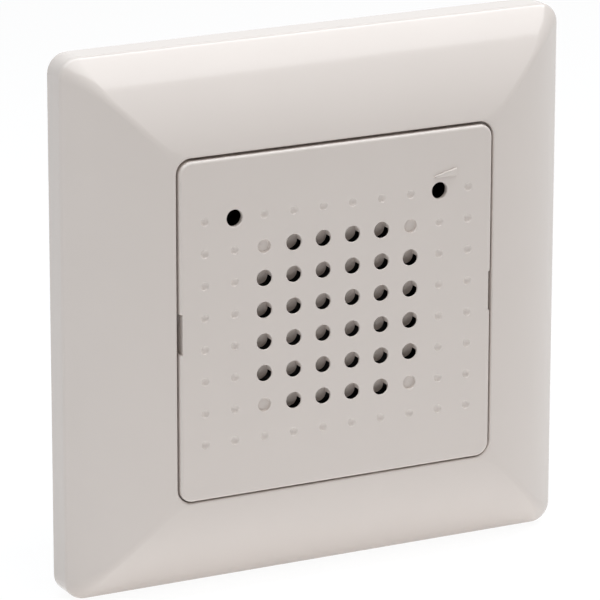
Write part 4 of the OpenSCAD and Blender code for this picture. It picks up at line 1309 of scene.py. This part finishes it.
def add_camera(studio):
    """Camera at the picture's viewing angle, with the wall's centre where the picture has it."""
    a, e, roll = studio.azimuth, studio.elevation, studio.roll
    back = Vector((-math.sin(a) * math.cos(e), -math.cos(a) * math.cos(e), math.sin(e)))
    level = Vector((math.cos(a), -math.sin(a), 0))
    top = back.cross(level)
    right = math.cos(roll) * level + math.sin(roll) * top
    up = math.cos(roll) * top - math.sin(roll) * level
    data = bpy.data.cameras.new("camera")
    data.lens = studio.lens
    data.sensor_width = SENSOR_WIDTH
    data.clip_start, data.clip_end = CLIP_START, CLIP_END
    camera = bpy.data.objects.new("camera", data)
    bpy.context.scene.collection.objects.link(camera)
    place = studio.distance * back - studio.aim_x * right - studio.aim_y * up
    facing = Matrix((right, up, back)).transposed().to_4x4()
    camera.matrix_world = Matrix.Translation(place) @ facing
    bpy.context.scene.camera = camera


class CHIME_OT_studio(bpy.types.Operator):
    """Set up the pale floor, the soft light and the camera"""

    bl_idname = "chime.studio"
    bl_label = "Studio"

    def execute(self, context):
        scene = context.scene
        studio = scene.chime_studio
        bpy.ops.object.select_all(action="DESELECT")
        floor_height = COVER_LOW.z - studio.floor_drop
        bpy.ops.mesh.primitive_plane_add(size=FLOOR_SIZE, location=(0, 0, floor_height))
        floor = named("studio_floor")
        floor.data.materials.append(floor_material(studio.shadow, studio.shine))
        world = bpy.data.worlds.new("studio_world")
        scene.world = world
        light_world(world, studio.ambient)
        add_softbox("key_softbox", KEY_PLACE, KEY_SIZE, studio.key, WHITE)
        add_softbox("top_softbox", TOP_PLACE, TOP_SIZE, studio.top, studio.top_tint)
        add_camera(studio)
        scene.view_settings.view_transform = "Standard"
        return {"FINISHED"}


STEPS = (CHIME_OT_cover_frame, CHIME_OT_center_plate, CHIME_OT_volume_sign,
         CHIME_OT_cone_roll, CHIME_OT_body_finishes, CHIME_OT_speaker_finishes,
         CHIME_OT_board_finishes, CHIME_OT_studio)


class CHIME_PT_sidebar(bpy.types.Panel):
    """Sidebar tab with the chime's steps and sizes"""

    bl_idname = "CHIME_PT_sidebar"
    bl_label = "Door Chime"
    bl_space_type = "VIEW_3D"
    bl_region_type = "UI"
    bl_category = "Chime"

    def draw(self, context):
        for step in STEPS:
            self.layout.operator(step.bl_idname)
        for name, group in GROUPS.items():
            box = self.layout.box()
            for key in group.__annotations__:
                box.prop(getattr(context.scene, name), key)


GROUPS = {"chime_cover": ChimeFrameSizes, "chime_plate": ChimePlateSizes,
          "chime_grille": ChimeGrilleSizes, "chime_sign": ChimeSignSizes,
          "chime_roll": ChimeRollSizes, "chime_finish": ChimeFinishes,
          "chime_studio": ChimeStudioSizes}


def register():
    for kind in (*GROUPS.values(), *STEPS, CHIME_PT_sidebar):
        bpy.utils.register_class(kind)
    for name, group in GROUPS.items():
        setattr(bpy.types.Scene, name, PointerProperty(type=group))


def unregister():
    for name in GROUPS:
        delattr(bpy.types.Scene, name)
    for kind in reversed((*GROUPS.values(), *STEPS, CHIME_PT_sidebar)):
        bpy.utils.unregister_class(kind)


def main():
    register()
    bpy.ops.chime.cover_frame()
    bpy.ops.chime.center_plate()
    bpy.ops.chime.volume_sign()
    bpy.ops.chime.cone_roll()
    bpy.ops.chime.body_finishes()
    bpy.ops.chime.speaker_finishes()
    bpy.ops.chime.board_finishes()
    bpy.ops.chime.studio()


if __name__ == "__main__":
    main()
